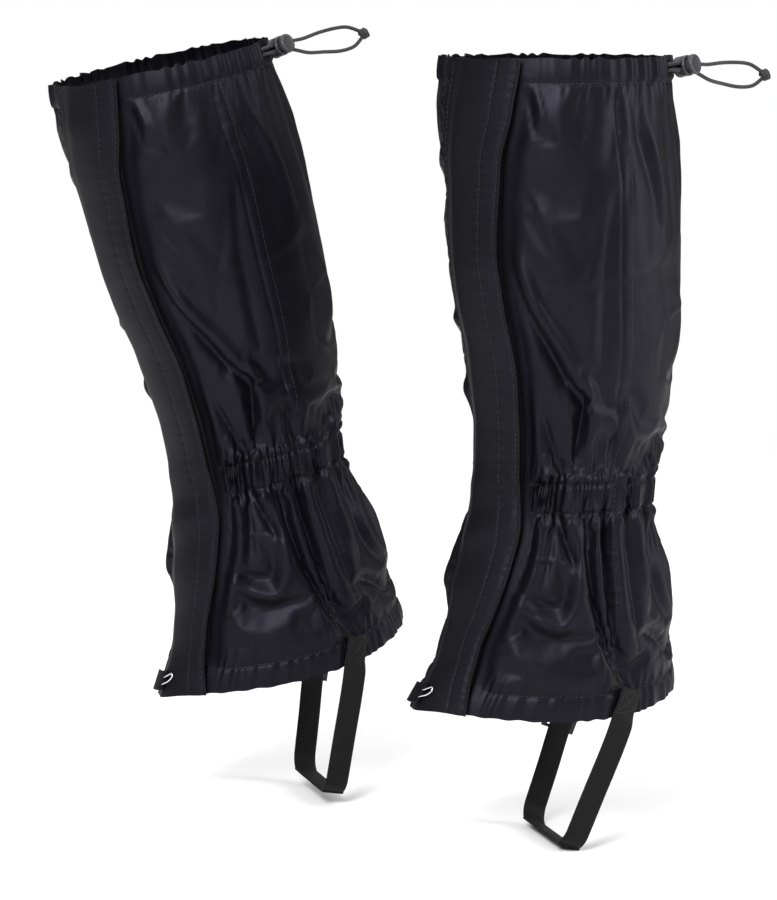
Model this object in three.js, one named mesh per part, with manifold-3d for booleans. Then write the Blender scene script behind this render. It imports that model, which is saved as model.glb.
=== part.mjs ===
// Pair of knee-length hiking gaiters, worn on two feet that point to -X.
// Millimetres, +Z up. The origin is the middle of the calf opening of the left gaiter.
// Angle th runs round the leg: 0 = shin (-X), 90 = outer side (-Y), 180 = calf (+X), 270 = inner side (+Y).
import * as THREE from 'three';
import Module from 'manifold-3d';
import { mergeVertices, mergeGeometries } from 'three/addons/utils/BufferGeometryUtils.js';

const wasm = await Module();
wasm.setup();

// ---------------------------------------------------------------- dimensions
const FABRIC = 1.2;            // coated fabric with its seam allowance
const GAP = 0.3;               // clearance between pieces that touch
const TAPE = 1.0;              // hook tape and loop tape, each
const TAPE_W = 17;             // width of both tapes
const CASING_H = 15;           // height of the drawcord tunnel at the top
const HEM_H = 15;              // height of the bottom hem
const TUNNEL_OUT = 0.8;        // tunnel wall stands this far outside the panels
const TUNNEL_IN = 4.6;         // and reaches this far inside
const WALL = 0.9;              // tunnel wall
const CORD_D = 2.4;            // elastic drawcord
const ANKLE_H = 18;            // ankle elastic
const STRAP_W = 15;            // instep strap width
const STRAP_T = 1.6;           // instep strap thickness
const STRAP_DROP = 84;         // hem to the underside of the strap loop
const STRAP_TILT = 20.5;       // the strap leans forward this many degrees
const STRAP_R = 13;            // corner of the strap loop
const LOCK_D = 13;             // cord lock barrel
const PRESS = 1.6;             // plunger travel
const RIGHT_PITCH = -12.5;     // the right gaiter leans forward
const RIGHT_AT = [-216, 170, -6];

// Rings of the leg tube: height, centre x, half length (X), half width (Y)
const RINGS = [
  [0, 0, 70.5, 68.5], [-15, 0, 71.5, 69.5], [-27.5, 0, 73, 70.5], [-52, 2.5, 73.6, 71], [-77.5, 5.0, 73.4, 71], [-127.4, 5.8, 70.8, 69],
  [-177.4, 9.4, 66, 64], [-227.4, 10.2, 59.4, 57], [-262, 7.0, 56.2, 52], [-281, 5.0, 57.0, 51],
  [-302.4, 3.2, 60.5, 52], [-327.4, 2.9, 66.5, 54], [-352.3, 3.6, 70.5, 54.5], [-377.3, 0.5, 75, 54], [-408, -6.2, 86, 53],
];
const Z_WAIST = -285;          // below this height the rings begin to slant
const Z_END = -408;

const rad = THREE.MathUtils.degToRad;
const lerp = (a, b, t) => a + (b - a) * t;
function table(rows, x, col) {            // rows run downwards in their first column
  if (x >= rows[0][0]) return rows[0][col];
  for (let i = 1; i < rows.length; i++) {
    if (x >= rows[i][0]) return lerp(rows[i][col], rows[i - 1][col], (x - rows[i][0]) / (rows[i - 1][0] - rows[i][0]));
  }
  return rows[rows.length - 1][col];
}
// Height of the bottom edge round the leg: lower at the sides, higher at the heel
const EDGE = [[360, -406], [330, -404], [300, -407], [270, -410], [240, -408], [210, -401], [180, -392.5],
  [150, -401], [120, -408.5], [90, -410], [60, -407], [30, -403.5], [0, -406]];
const bottomZ = (th) => table(EDGE, ((th % 360) + 360) % 360, 1);

// A point of the tube: nominal height h (0 to Z_END), angle th, and off millimetres outside the fabric face
function tube(th, h, off = 0) {
  const c = Math.cos(rad(th)), s = Math.sin(rad(th));
  const cx = table(RINGS, h, 1), a = table(RINGS, h, 2), b = table(RINGS, h, 3);
  const n = new THREE.Vector2(-c / a, -s / b).normalize();
  const k = h < Z_WAIST ? ((Z_WAIST - h) / (Z_WAIST - Z_END)) ** 1.5 : 0;
  const z = h + k * (bottomZ(th) - Z_END);
  return new THREE.Vector3(cx - a * c + off * n.x, -b * s + off * n.y, z);
}

// Edges of the flap, as angles over the height
const FLAP = [  // h, sewn edge, free edge
  [0, 15, 57.5], [-34, 11, 53], [-59, 3, 46], [-90, 0, 42.5], [-122, -2, 41.3], [-152, -2, 41.8], [-192, -2, 45.3],
  [-224, -4, 45], [-259, -8, 46.6], [-290, -6, 52], [-327, -3, 47.4], [-358, -2, 38.5], [-380, -1, 38.6], [-408, 0, 45.5],
];
const sewnAt = (h) => table(FLAP, h, 1);
const freeAt = (h) => table(FLAP, h, 2);

// ---------------------------------------------------------------- mesh helpers
function solid(vertices, quadsAndTris) {
  const g = new THREE.BufferGeometry();
  g.setAttribute('position', new THREE.Float32BufferAttribute(vertices.flatMap((v) => [v.x, v.y, v.z]), 3));
  const index = [];
  for (const f of quadsAndTris) {
    index.push(f[0], f[1], f[2]);
    if (f.length === 4) index.push(f[0], f[2], f[3]);
  }
  g.setIndex(index);
  // faces point out: a closed body has a positive volume
  const p = g.attributes.position, A = new THREE.Vector3(), B = new THREE.Vector3(), C = new THREE.Vector3();
  let vol = 0;
  for (let i = 0; i < index.length; i += 3) {
    A.fromBufferAttribute(p, index[i]); B.fromBufferAttribute(p, index[i + 1]); C.fromBufferAttribute(p, index[i + 2]);
    vol += A.dot(B.clone().cross(C));
  }
  if (vol < 0) for (let i = 0; i < index.length; i += 3) [index[i + 1], index[i + 2]] = [index[i + 2], index[i + 1]];
  g.setIndex(index);
  g.computeVertexNormals();
  return g;
}
// A sheet with two faces: face(i, j, side) gives the points, side 0 inside and 1 outside
function sheet(rows, cols, face) {
  const v = [], id = (i, j, s) => (s * rows + i) * cols + j, f = [];
  for (let s = 0; s < 2; s++) for (let i = 0; i < rows; i++) for (let j = 0; j < cols; j++) v.push(face(i, j, s));
  for (let i = 0; i < rows - 1; i++) for (let j = 0; j < cols - 1; j++) {
    f.push([id(i, j, 1), id(i + 1, j, 1), id(i + 1, j + 1, 1), id(i, j + 1, 1)]);
    f.push([id(i, j, 0), id(i, j + 1, 0), id(i + 1, j + 1, 0), id(i + 1, j, 0)]);
  }
  for (let i = 0; i < rows - 1; i++) {
    f.push([id(i, 0, 0), id(i + 1, 0, 0), id(i + 1, 0, 1), id(i, 0, 1)]);
    f.push([id(i, cols - 1, 1), id(i + 1, cols - 1, 1), id(i + 1, cols - 1, 0), id(i, cols - 1, 0)]);
  }
  for (let j = 0; j < cols - 1; j++) {
    f.push([id(0, j, 1), id(0, j + 1, 1), id(0, j + 1, 0), id(0, j, 0)]);
    f.push([id(rows - 1, j, 0), id(rows - 1, j + 1, 0), id(rows - 1, j + 1, 1), id(rows - 1, j, 1)]);
  }
  return solid(v, f);
}
// A piece of the tube between two heights and two edges, o1 to o2 outside the fabric face
function patch(heights, left, right, cols, o1, o2) {
  return sheet(heights.length, cols + 1, (i, j, s) => {
    const h = heights[i];
    return tube(lerp(left(h), right(h), j / cols), h, s ? o2 : o1);
  });
}
const steps = (a, b, n) => Array.from({ length: n + 1 }, (_, i) => lerp(a, b, i / n));

// A rectangular tunnel bent round the leg, open at both ends
function tunnel(th0, th1, n, corner) {
  const v = [], f = [];
  for (let i = 0; i <= n; i++) for (let k = 0; k < 8; k++) v.push(corner(lerp(th0, th1, i / n), k));
  const id = (i, k) => i * 8 + k;
  for (let i = 0; i < n; i++) for (let k = 0; k < 4; k++) {
    const m = (k + 1) % 4;
    f.push([id(i, k), id(i, m), id(i + 1, m), id(i + 1, k)]);
    f.push([id(i, 4 + k), id(i + 1, 4 + k), id(i + 1, 4 + m), id(i, 4 + m)]);
  }
  for (let k = 0; k < 4; k++) {
    const m = (k + 1) % 4;
    f.push([id(0, k), id(0, 4 + k), id(0, 4 + m), id(0, m)]);
    f.push([id(n, k), id(n, m), id(n, 4 + m), id(n, 4 + k)]);
  }
  return solid(v, f);
}
// A round cord or wire along points, closed at both ends
function rod(points, d, stepsN, sides = 8) {
  const curve = new THREE.CatmullRomCurve3(points, false, 'centripetal');
  const shape = new THREE.Shape();
  for (let i = 0; i < sides; i++) {
    const a = (i / sides) * Math.PI * 2, x = Math.cos(a) * d / 2, y = Math.sin(a) * d / 2;
    if (i) shape.lineTo(x, y); else shape.moveTo(x, y);
  }
  shape.closePath();
  return new THREE.ExtrudeGeometry(shape, { steps: stepsN, extrudePath: curve, bevelEnabled: false });
}
function toManifold(g) {
  const c = g.clone();
  for (const name of ['normal', 'uv']) c.deleteAttribute(name);
  const m = mergeVertices(c, 1e-4);
  const tri = m.index.array;
  const keep = [];
  for (let i = 0; i < tri.length; i += 3) if (tri[i] !== tri[i + 1] && tri[i + 1] !== tri[i + 2] && tri[i] !== tri[i + 2]) keep.push(tri[i], tri[i + 1], tri[i + 2]);
  return new wasm.Manifold(new wasm.Mesh({ numProp: 3, vertProperties: new Float32Array(m.attributes.position.array), triVerts: new Uint32Array(keep) }));
}
function fromManifold(man) {
  const m = man.getMesh();
  const g = new THREE.BufferGeometry();
  g.setAttribute('position', new THREE.BufferAttribute(new Float32Array(m.vertProperties), 3));
  g.setIndex(new THREE.BufferAttribute(new Uint32Array(m.triVerts), 1));
  g.computeVertexNormals();
  return g;
}

// ---------------------------------------------------------------- fabric tube
const H_TOP = -CASING_H - 0.4;
const H_HEM = Z_END + HEM_H;                      // top of the bottom hem
const PANEL_ROWS = [H_TOP, -40, -77.5, -127.4, -177.4, -227.4, -262, -281, -302.4, -327.4, -352.3, -377, H_HEM + 1.9];
const SEAM_OUT = 103, SEAM_IN = 257, SEAM_GAP = 0.35;

const frontPanel = () => patch(PANEL_ROWS, () => -(360 - SEAM_IN) + SEAM_GAP, (h) => sewnAt(h) - 0.6, 9, -FABRIC, 0);
const outerPanel = () => patch(PANEL_ROWS, (h) => sewnAt(h) + 4, () => SEAM_OUT, 7, -FABRIC, 0);
const rearPanel = () => patch(PANEL_ROWS, () => SEAM_OUT + SEAM_GAP, () => SEAM_IN, 11, -FABRIC, 0);

// ---------------------------------------------------------------- storm flap
const LAYER = 0.7;                               // clearance between the layers of the closure
const FLAP_IN = 2 * TAPE + 3 * LAYER;             // the flap lies over both tapes
const FOLD_TOP = [0, -232];                        // fold of the upper corner: heights where it starts and ends
const FOLD_LOW = [-300, Z_END];
const foldTop = (h) => lerp(sewnAt(0) + 7, freeAt(FOLD_TOP[1]) - 2, h / FOLD_TOP[1]);
const foldLow = (h) => lerp(freeAt(FOLD_LOW[0]) - 2, sewnAt(Z_END) + 22, (h - FOLD_LOW[0]) / (Z_END - FOLD_LOW[0]));
const CUT = 1.0;                                   // half the clearance along a fold, degrees
const flapRight = (h) => {
  if (h > FOLD_TOP[1]) return Math.min(foldTop(h) - CUT, freeAt(h));
  if (h < FOLD_LOW[0]) return Math.min(foldLow(h) - CUT, freeAt(h));
  return freeAt(h);
};
const FLAP_ROWS = [-0.5, -40, -77.5, -127.4, -177.4, -206, -231.9, -232.3, -262, -281, -299.7, -300.3, -327.4, -352.3, -377, -392, Z_END];
const flapBase = () => sheet(FLAP_ROWS.length, 5, (i, j, s) => {
  const h = FLAP_ROWS[i], l = sewnAt(h) + 0.6, r = flapRight(h);
  const th = lerp(l, r, j / 4), rise = Math.min(1, (th - l) / 6);
  const o = lerp(TUNNEL_OUT + GAP, FLAP_IN, rise);
  return tube(th, h, s ? o + FABRIC : o);
});
const flapUpper = () => patch([-0.5, -40, -77.5, -127.4, -160, -190, -212], (h) => foldTop(h) + CUT, freeAt, 4, FLAP_IN, FLAP_IN + FABRIC);
const flapLower = () => patch([-318, -340, -360, -377, -392, Z_END], (h) => foldLow(h) + CUT, freeAt, 3, FLAP_IN, FLAP_IN + FABRIC);
const tapeEdge = (h) => TAPE_W / 65 * 57.3 * (65 / table(RINGS, h, 2));
const tape = (rows, o, from = () => -1e3) => patch(rows, (h) => Math.max(freeAt(h) - 1.5 - tapeEdge(h), from(h)), (h) => freeAt(h) - 1.5, 2, o, o + TAPE);
const loopTape = () => tape([-17, -40, -77.5, -127.4, -177.4, -227.4, -262, -281, -302.4, -327.4, -352.3, -377, -391], LAYER);
const hookUpper = () => tape([-17, -40, -77.5, -110], LAYER * 2 + TAPE, (h) => foldTop(h) + CUT + 1);   // clear of the fold
const hookMiddle = () => tape([-236, -262, -281, -296], LAYER * 2 + TAPE);
const hookLower = () => tape([-366, -378, -391], LAYER * 2 + TAPE, (h) => foldLow(h) + CUT + 1);

// ---------------------------------------------------------------- top casing and drawcord
const EXIT = [143, 152];                           // the tunnel is open between these angles
function casing(th0, th1, n) {
  return tunnel(th0, th1, n, (th, k) => {
    const out = TUNNEL_OUT, inn = -TUNNEL_IN, w = WALL;
    const [h, o] = [[0, out], [-CASING_H, out], [-CASING_H, inn], [0, inn],
      [-w, out - w], [-CASING_H + w, out - w], [-CASING_H + w, inn + w], [-w, inn + w]][k];
    return tube(th, h, o);
  });
}
const casingOuter = () => casing(20, EXIT[0], 11);
const casingInner = () => casing(EXIT[1], 371, 17);

// Cord lock: its plunger points along LOCK_AXIS, the cord runs through along CORD_DIR
const LOCK_AT = new THREE.Vector3(72.4, -33.9, -6);
const LOCK_AXIS = new THREE.Vector3(0.617, -0.763, 0.195).normalize();
const CORD_DIR = new THREE.Vector3(0.778, 0.629, 0).normalize();
const LOCK_UP = new THREE.Vector3().crossVectors(CORD_DIR, LOCK_AXIS).normalize().multiplyScalar(-1);
if (LOCK_UP.z < 0) LOCK_UP.negate();
const SPLIT = 2.0;                                  // half the distance between the two strands in the lock
const P = (x, y, z) => new THREE.Vector3(x, y, z);
const along = (d, up) => LOCK_AT.clone().addScaledVector(CORD_DIR, d).addScaledVector(LOCK_UP, up);
const KNOT = P(136.5, 0.5, -14.6);
const KNOT_D = 8;

const upperFree = [along(-8, SPLIT), along(-3, SPLIT), along(3, SPLIT), along(9, SPLIT - 0.2), along(18, SPLIT - 0.9), along(28, SPLIT - 1.4),
  P(107, -7.5, -5.6), P(119, -3.4, -6.4), P(127.5, -1.2, -8.0), P(133.6, 0.0, -11.8)];
const lowerFree = [along(-9, -SPLIT), along(-4, -SPLIT), along(3, -SPLIT), along(9, -SPLIT - 0.8), along(18, -SPLIT - 4.0), along(28, -SPLIT - 7.4),
  P(107, -7.5, -18.6), P(119, -3.4, -21.2), P(129, -0.9, -21.0), P(134.8, 0.2, -17.6)];
function drawcordUpper() {
  const pts = [];
  for (let th = 24; th <= 141; th += 11.6) pts.push(tube(th, -6, -2.0));
  pts.push(tube(146.5, -5.6, -1.2), P(61.6, -37.9, -4.6));
  return rod([...pts, ...upperFree], CORD_D, 31);
}
function drawcordLower() {
  const pts = [];
  for (let th = 368; th >= 161; th -= 11.5) pts.push(tube(th, -9, -2.0));
  pts.push(tube(154, -9, -1.8), P(58.6, -35.4, -8.7), P(61.2, -38.3, -8.3));
  return rod([...pts, ...lowerFree], CORD_D, 40);
}
function knot() {
  const g = new THREE.IcosahedronGeometry(KNOT_D / 2, 1);
  g.scale(1, 0.9, 1);
  g.translate(KNOT.x + 2.0, KNOT.y, KNOT.z);
  return g;
}
const LOCK_Q = new THREE.Quaternion().setFromRotationMatrix(new THREE.Matrix4().makeBasis(CORD_DIR, LOCK_UP, new THREE.Vector3().crossVectors(CORD_DIR, LOCK_UP)));
// Lathe along the lock's own axis; local x runs with the cord, y across the two strands, z or -z along the plunger
const LOCK_SIGN = new THREE.Vector3().crossVectors(CORD_DIR, LOCK_UP).dot(LOCK_AXIS) > 0 ? 1 : -1;
function lathe(profile, seg) {                      // profile: [radius, distance along the axis]
  const g = new THREE.LatheGeometry(profile.map(([r, s]) => new THREE.Vector2(r, s)), seg);
  return g;                                         // turns about y
}
function placeLock(g) {
  // lathe axis (y) to the lock axis
  g.rotateX(Math.PI / 2 * LOCK_SIGN);
  g.applyQuaternion(LOCK_Q);
  g.translate(LOCK_AT.x, LOCK_AT.y, LOCK_AT.z);
  return g;
}
function cutSlot(g, w, hgt, centre) {                // slot along local x, before placing: axis is y, strands across z
  const box = new THREE.BoxGeometry(30, w, hgt);
  box.translate(0, centre, 0);
  return fromManifold(toManifold(g).subtract(toManifold(box)));
}
const SLOT_H = 2 * SPLIT + CORD_D + 1.6;
const R = LOCK_D / 2;
function lockBarrel() {
  const g = lathe([[0, -5.2], [R - 0.8, -5.2], [R, -4.4], [R, 3.4], [R - 0.5, 4.0], [4.5, 4.0], [4.5, -3.9], [0, -3.9]], 18);
  return placeLock(cutSlot(g, CORD_D + 1.5, SLOT_H, 0));
}
function lockPlunger() {
  const g = lathe([[0, -2.1], [4.1, -2.1], [4.1, 4.0 + PRESS + 0.3], [R - 0.9, 4.0 + PRESS + 0.3], [R - 0.3, 4.0 + PRESS + 0.8], [R - 0.3, 8.2], [R - 1.0, 9.0], [0, 9.3]], 18);
  // its own hole is longer than the barrel's, so the cord stays clear when it is pressed
  return placeLock(cutSlot(g, CORD_D + 0.6 + PRESS, SLOT_H - 1.0, 0.5 * PRESS));
}
function lockSpring() {
  const pts = [];
  const turns = 1, n = 20;
  for (let i = 0; i <= n; i++) {
    const a = (i / n) * turns * Math.PI * 2;
    pts.push(P(Math.cos(a) * 2.6, -3.3 + (i / n) * 0.45, Math.sin(a) * 2.6));
  }
  return placeLock(rod(pts.slice(0, -2), 0.5, 14, 6));
}

// ---------------------------------------------------------------- ankle elastic, bottom hem
const ankleElastic = () => patch([-262, -271, -262 - ANKLE_H], () => 56, () => 350, 16, -FABRIC - 2.3, -FABRIC - 1.1);
function hemBand(th0, th1, n) {
  return tunnel(th0, th1, n, (th, k) => {
    const w = 0.7, out = TUNNEL_OUT, inn = -2.6;
    const [h, o] = [[H_HEM, out], [Z_END, out], [Z_END, inn], [H_HEM, inn],
      [H_HEM - w, out - w], [Z_END + w, out - w], [Z_END + w, inn + w], [H_HEM - w, inn + w]][k];
    return tube(th, h, o);
  });
}
const bottomHem = () => hemBand(4, 359, 26);
const hemElastic = () => patch([H_HEM - 2.4, Z_END + 2.4], () => 4 + 355 / 26, () => 359 - 355 / 26, 24, -1.4, -0.4);

// ---------------------------------------------------------------- lace hook
const HOOK_O = FLAP_IN + FABRIC;
function laceHook() {
  const f = (t, h, o) => tube(t, h, HOOK_O + o);
  return rod([f(9.5, -400.5, 0.95), f(14, -398.8, 1.0), f(18.5, -397.0, 1.0), f(20.4, -394.4, 1.0), f(18.6, -392.6, 1.0), f(14, -394.4, 1.0), f(9.5, -396.2, 0.95)], 1.2, 20, 6);
}
const hookTab = () => patch([-391, -402.5], () => 2.5, () => 8.6, 1, HOOK_O + GAP, HOOK_O + GAP + 1.4);

// ---------------------------------------------------------------- instep strap
const ANCHOR = { x: 29, y: 53.2, z: -413 };        // hinge line of the strap, along Y
function strapFrame(g) {                            // local: x = width, z = down the strap
  g.rotateY(rad(STRAP_TILT));
  g.translate(ANCHOR.x, 0, ANCHOR.z);
  return g;
}
function instepStrap() {
  const y = ANCHOR.y - 2, yb = 45, w = STRAP_W / 2, pts = [];
  const arc = (cy, cz, a0, a1, n) => { for (let i = 0; i <= n; i++) { const a = lerp(a0, a1, i / n); pts.push([cy + STRAP_R * Math.cos(a), cz + STRAP_R * Math.sin(a)]); } };
  pts.push([-y - 0.4, -4.2], [-y + 0.4, -20], [-yb - 2.4, -48]);
  arc(-yb + STRAP_R, -STRAP_DROP + STRAP_R, Math.PI, Math.PI * 1.5, 5);
  arc(yb - STRAP_R, -STRAP_DROP + STRAP_R, Math.PI * 1.5, Math.PI * 2, 5);
  pts.push([yb + 2.4, -48], [y - 0.4, -24], [y + 0.4, -13]);
  const n = pts.length, v = [], f = [];
  for (let i = 0; i < n; i++) {
    const p = pts[Math.max(0, i - 1)], q = pts[Math.min(n - 1, i + 1)];
    const ty = q[0] - p[0], tz = q[1] - p[1], l = Math.hypot(ty, tz), ny = -tz / l, nz = ty / l;
    for (const [sx, sn] of [[-w, -1], [w, -1], [w, 1], [-w, 1]]) v.push(P(sx, pts[i][0] + ny * sn * STRAP_T / 2, pts[i][1] + nz * sn * STRAP_T / 2));
  }
  for (let i = 0; i < n - 1; i++) for (let k = 0; k < 4; k++) { const m = (k + 1) % 4; f.push([i * 4 + k, i * 4 + m, i * 4 + 4 + m, i * 4 + 4 + k]); }
  f.push([3, 2, 1, 0], [(n - 1) * 4, (n - 1) * 4 + 1, (n - 1) * 4 + 2, (n - 1) * 4 + 3]);
  return strapFrame(solid(v, f));
}
// sewn end of the strap on the outside of the hem; side -1 is the outer side, 1 the inner side
function strapTab(side) {
  const lean = (h) => lerp(119, 115, (h + 391.5) / -14.5);       // it leans like the strap
  const mid = (h) => (side < 0 ? lean(h) : 360 - lean(h));
  return patch([-391.5, -399, -406], (h) => mid(h) - 5.2, (h) => mid(h) + 5.2, 2, TUNNEL_OUT + GAP, TUNNEL_OUT + GAP + STRAP_T);
}
function buckle() {
  const frame = new THREE.BoxGeometry(22, 2.6, 17);
  let m = toManifold(frame);
  for (const z of [5.3, 0, -5.3]) {
    const s = new THREE.BoxGeometry(16.6, 8, 2.6);
    s.translate(0, 0, z);
    m = m.subtract(toManifold(s));
  }
  const g = fromManifold(m);
  g.rotateX(0.04);
  g.translate(0, ANCHOR.y - 1.6 + STRAP_T + 1.5, -16);
  return strapFrame(g);
}

// ---------------------------------------------------------------- assembly
const BLACK = 0x1f1f22, DARK = 0x17171a, GREY = 0x3b3b40;
const cloth = (color = BLACK) => new THREE.MeshStandardMaterial({ color, roughness: 0.55, metalness: 0 });
const rubber = () => new THREE.MeshStandardMaterial({ color: 0x18181a, roughness: 0.8, metalness: 0 });
const plastic = () => new THREE.MeshStandardMaterial({ color: GREY, roughness: 0.4, metalness: 0 });
const steel = () => new THREE.MeshStandardMaterial({ color: 0xc8c8cc, roughness: 0.25, metalness: 1 });

const PIECES = [
  ['front_panel', frontPanel, cloth], ['outer_panel', outerPanel, cloth], ['rear_panel', rearPanel, cloth],
  ['storm_flap', flapBase, cloth], ['storm_flap_upper_corner', flapUpper, cloth], ['storm_flap_lower_corner', flapLower, cloth],
  ['hook_tape_upper', hookUpper, () => cloth(DARK)], ['hook_tape_middle', hookMiddle, () => cloth(DARK)],
  ['hook_tape_lower', hookLower, () => cloth(DARK)], ['loop_tape', loopTape, () => cloth(DARK)],
  ['top_casing_outer', casingOuter, cloth], ['top_casing_inner', casingInner, cloth],
  ['drawcord_upper', drawcordUpper, () => cloth(GREY)], ['drawcord_lower', drawcordLower, () => cloth(GREY)],
  ['cord_knot', knot, () => cloth(GREY)],
  ['cord_lock_barrel', lockBarrel, plastic], ['cord_lock_plunger', lockPlunger, plastic], ['cord_lock_spring', lockSpring, steel],
  ['ankle_elastic', ankleElastic, () => cloth(DARK)], ['bottom_hem', bottomHem, cloth], ['bottom_hem_elastic', hemElastic, () => cloth(DARK)],
  ['lace_hook', laceHook, steel], ['hook_tab', hookTab, () => cloth(DARK)],
  ['outer_strap_tab', () => strapTab(-1), rubber], ['inner_strap_tab', () => strapTab(1), rubber],
  ['instep_strap', instepStrap, rubber], ['strap_buckle', buckle, plastic],
];

function gaiter(prefix) {
  const group = new THREE.Group();
  for (const [name, make, material] of PIECES) {
    const mesh = new THREE.Mesh(make(), material());
    mesh.name = `${prefix}_${name}`;
    group.add(mesh);
  }
  return group;
}

const pair = new THREE.Group();
pair.add(gaiter('left'));
const right = gaiter('right');
right.rotation.y = rad(RIGHT_PITCH);
right.position.set(...RIGHT_AT);
pair.add(right);

export default pair;
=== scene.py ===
import bpy, math
import numpy as np
from mathutils import Matrix, Vector, Quaternion


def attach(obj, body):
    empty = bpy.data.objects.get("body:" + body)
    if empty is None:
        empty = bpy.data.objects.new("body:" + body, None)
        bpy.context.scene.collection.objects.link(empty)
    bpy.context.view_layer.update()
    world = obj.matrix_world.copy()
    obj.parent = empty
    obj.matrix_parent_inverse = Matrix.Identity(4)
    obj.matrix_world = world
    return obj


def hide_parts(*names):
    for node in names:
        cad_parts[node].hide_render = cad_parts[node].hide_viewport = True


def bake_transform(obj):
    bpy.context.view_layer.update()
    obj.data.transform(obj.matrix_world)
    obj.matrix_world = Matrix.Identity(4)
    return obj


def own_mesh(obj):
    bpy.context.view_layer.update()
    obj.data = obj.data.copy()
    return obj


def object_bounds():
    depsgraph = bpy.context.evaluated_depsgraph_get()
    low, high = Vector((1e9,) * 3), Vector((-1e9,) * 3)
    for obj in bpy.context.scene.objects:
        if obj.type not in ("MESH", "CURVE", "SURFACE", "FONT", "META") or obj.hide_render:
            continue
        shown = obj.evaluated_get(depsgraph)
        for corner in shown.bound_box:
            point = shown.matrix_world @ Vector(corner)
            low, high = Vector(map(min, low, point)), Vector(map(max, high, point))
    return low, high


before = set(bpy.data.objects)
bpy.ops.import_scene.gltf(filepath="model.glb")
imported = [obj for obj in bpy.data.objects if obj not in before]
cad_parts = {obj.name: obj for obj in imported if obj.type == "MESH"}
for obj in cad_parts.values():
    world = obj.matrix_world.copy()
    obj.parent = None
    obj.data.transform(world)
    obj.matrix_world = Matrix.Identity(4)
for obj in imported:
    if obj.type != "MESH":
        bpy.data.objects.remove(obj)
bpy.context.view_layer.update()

MM = 0.001
rng = np.random.default_rng(11)

# ------------------------------------------------------------------ camera
AZ, EL, DIST = math.radians(-15), math.radians(7), 2.400
PX = 0.00062                      # metres a pixel at the left gaiter
vdir = Vector((math.sin(AZ) * math.cos(EL), -math.cos(AZ) * math.cos(EL), math.sin(EL)))
cam_data = bpy.data.cameras.new("camera")
cam = bpy.data.objects.new("camera", cam_data)
bpy.context.scene.collection.objects.link(cam)
q = (-vdir).to_track_quat("-Z", "Y")
right_v, up_v = q @ Vector((1, 0, 0)), q @ Vector((0, 1, 0))
target = -right_v * (555.5 - 388.5) * PX - up_v * (450 - 56) * PX
cam.location = target + vdir * DIST
cam.rotation_euler = q.to_euler()
cam_data.sensor_fit = "AUTO"
cam_data.sensor_width = 36
cam_data.lens = 36 * DIST / (900 * PX)
cam_data.clip_end = 20
bpy.context.scene.camera = cam

# ------------------------------------------------------------------ the leg tube, as in the CAD model (mm)
RINGS = np.array([
    [0, 0, 70.5, 68.5], [-15, 0, 71.5, 69.5], [-27.5, 0, 73, 70.5], [-52, 2.5, 73.6, 71], [-77.5, 5.0, 73.4, 71], [-127.4, 5.8, 70.8, 69],
    [-177.4, 9.4, 66, 64], [-227.4, 10.2, 59.4, 57], [-262, 7.0, 56.2, 52], [-281, 5.0, 57.0, 51],
    [-302.4, 3.2, 60.5, 52], [-327.4, 2.9, 66.5, 54], [-352.3, 3.6, 70.5, 54.5], [-377.3, 0.5, 75, 54], [-408, -6.2, 86, 53]], float)
FLAP = np.array([
    [0, 15, 57.5], [-34, 11, 53], [-59, 3, 46], [-90, 0, 42.5], [-122, -2, 41.3], [-152, -2, 41.8], [-192, -2, 45.3],
    [-224, -4, 45], [-259, -8, 46.6], [-290, -6, 52], [-327, -3, 47.4], [-358, -2, 38.5], [-380, -1, 38.6], [-408, 0, 45.5]], float)
EDGE = np.array([[0, -406], [30, -403.5], [60, -407], [90, -410], [120, -408.5], [150, -401], [180, -392.5],
    [210, -401], [240, -408], [270, -410], [300, -407], [330, -404], [360, -406]], float)
Z_WAIST, Z_END = -285.0, -408.0


def smooth_table(tab, x, col, k=2.5):
    """Linear table smoothed over a few millimetres, so the surface has no creases at the table's rows."""
    out = 0
    for d, w in ((-2, 1), (-1, 2), (0, 3), (1, 2), (2, 1)):
        out = out + w * np.interp(-(x + d * k), -tab[:, 0], tab[:, col])
    return out / 9


def ring(h):
    return smooth_table(RINGS, h, 1), smooth_table(RINGS, h, 2), smooth_table(RINGS, h, 3)


def sewn(h):
    return smooth_table(FLAP, h, 1, 5)


def free(h):
    return smooth_table(FLAP, h, 2, 5)


def bottom(th):
    t = np.mod(th, 360)
    out = 0
    for d, w in ((-8, 1), (-4, 2), (0, 3), (4, 2), (8, 1)):
        out = out + w * np.interp(np.mod(t + d, 360), EDGE[:, 0], EDGE[:, 1])
    return out / 9


def tube(th, h, off=0.0):
    th, h = np.broadcast_arrays(np.asarray(th, float), np.asarray(h, float))
    cx, a, b = ring(h)
    c, s = np.cos(np.radians(th)), np.sin(np.radians(th))
    nx, ny = -c / a, -s / b
    n = np.hypot(nx, ny)
    k = np.clip((Z_WAIST - h) / (Z_WAIST - Z_END), 0, 1) ** 1.5
    z = h + k * (bottom(th) - Z_END)
    return np.stack([cx - a * c + off * nx / n, -b * s + off * ny / n, z], -1)


def sstep(x, a, b):
    t = np.clip((x - a) / (b - a), 0, 1)
    return t * t * (3 - 2 * t)


def bump(x, c, w):
    return np.exp(-((x - c) / w) ** 2)


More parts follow.
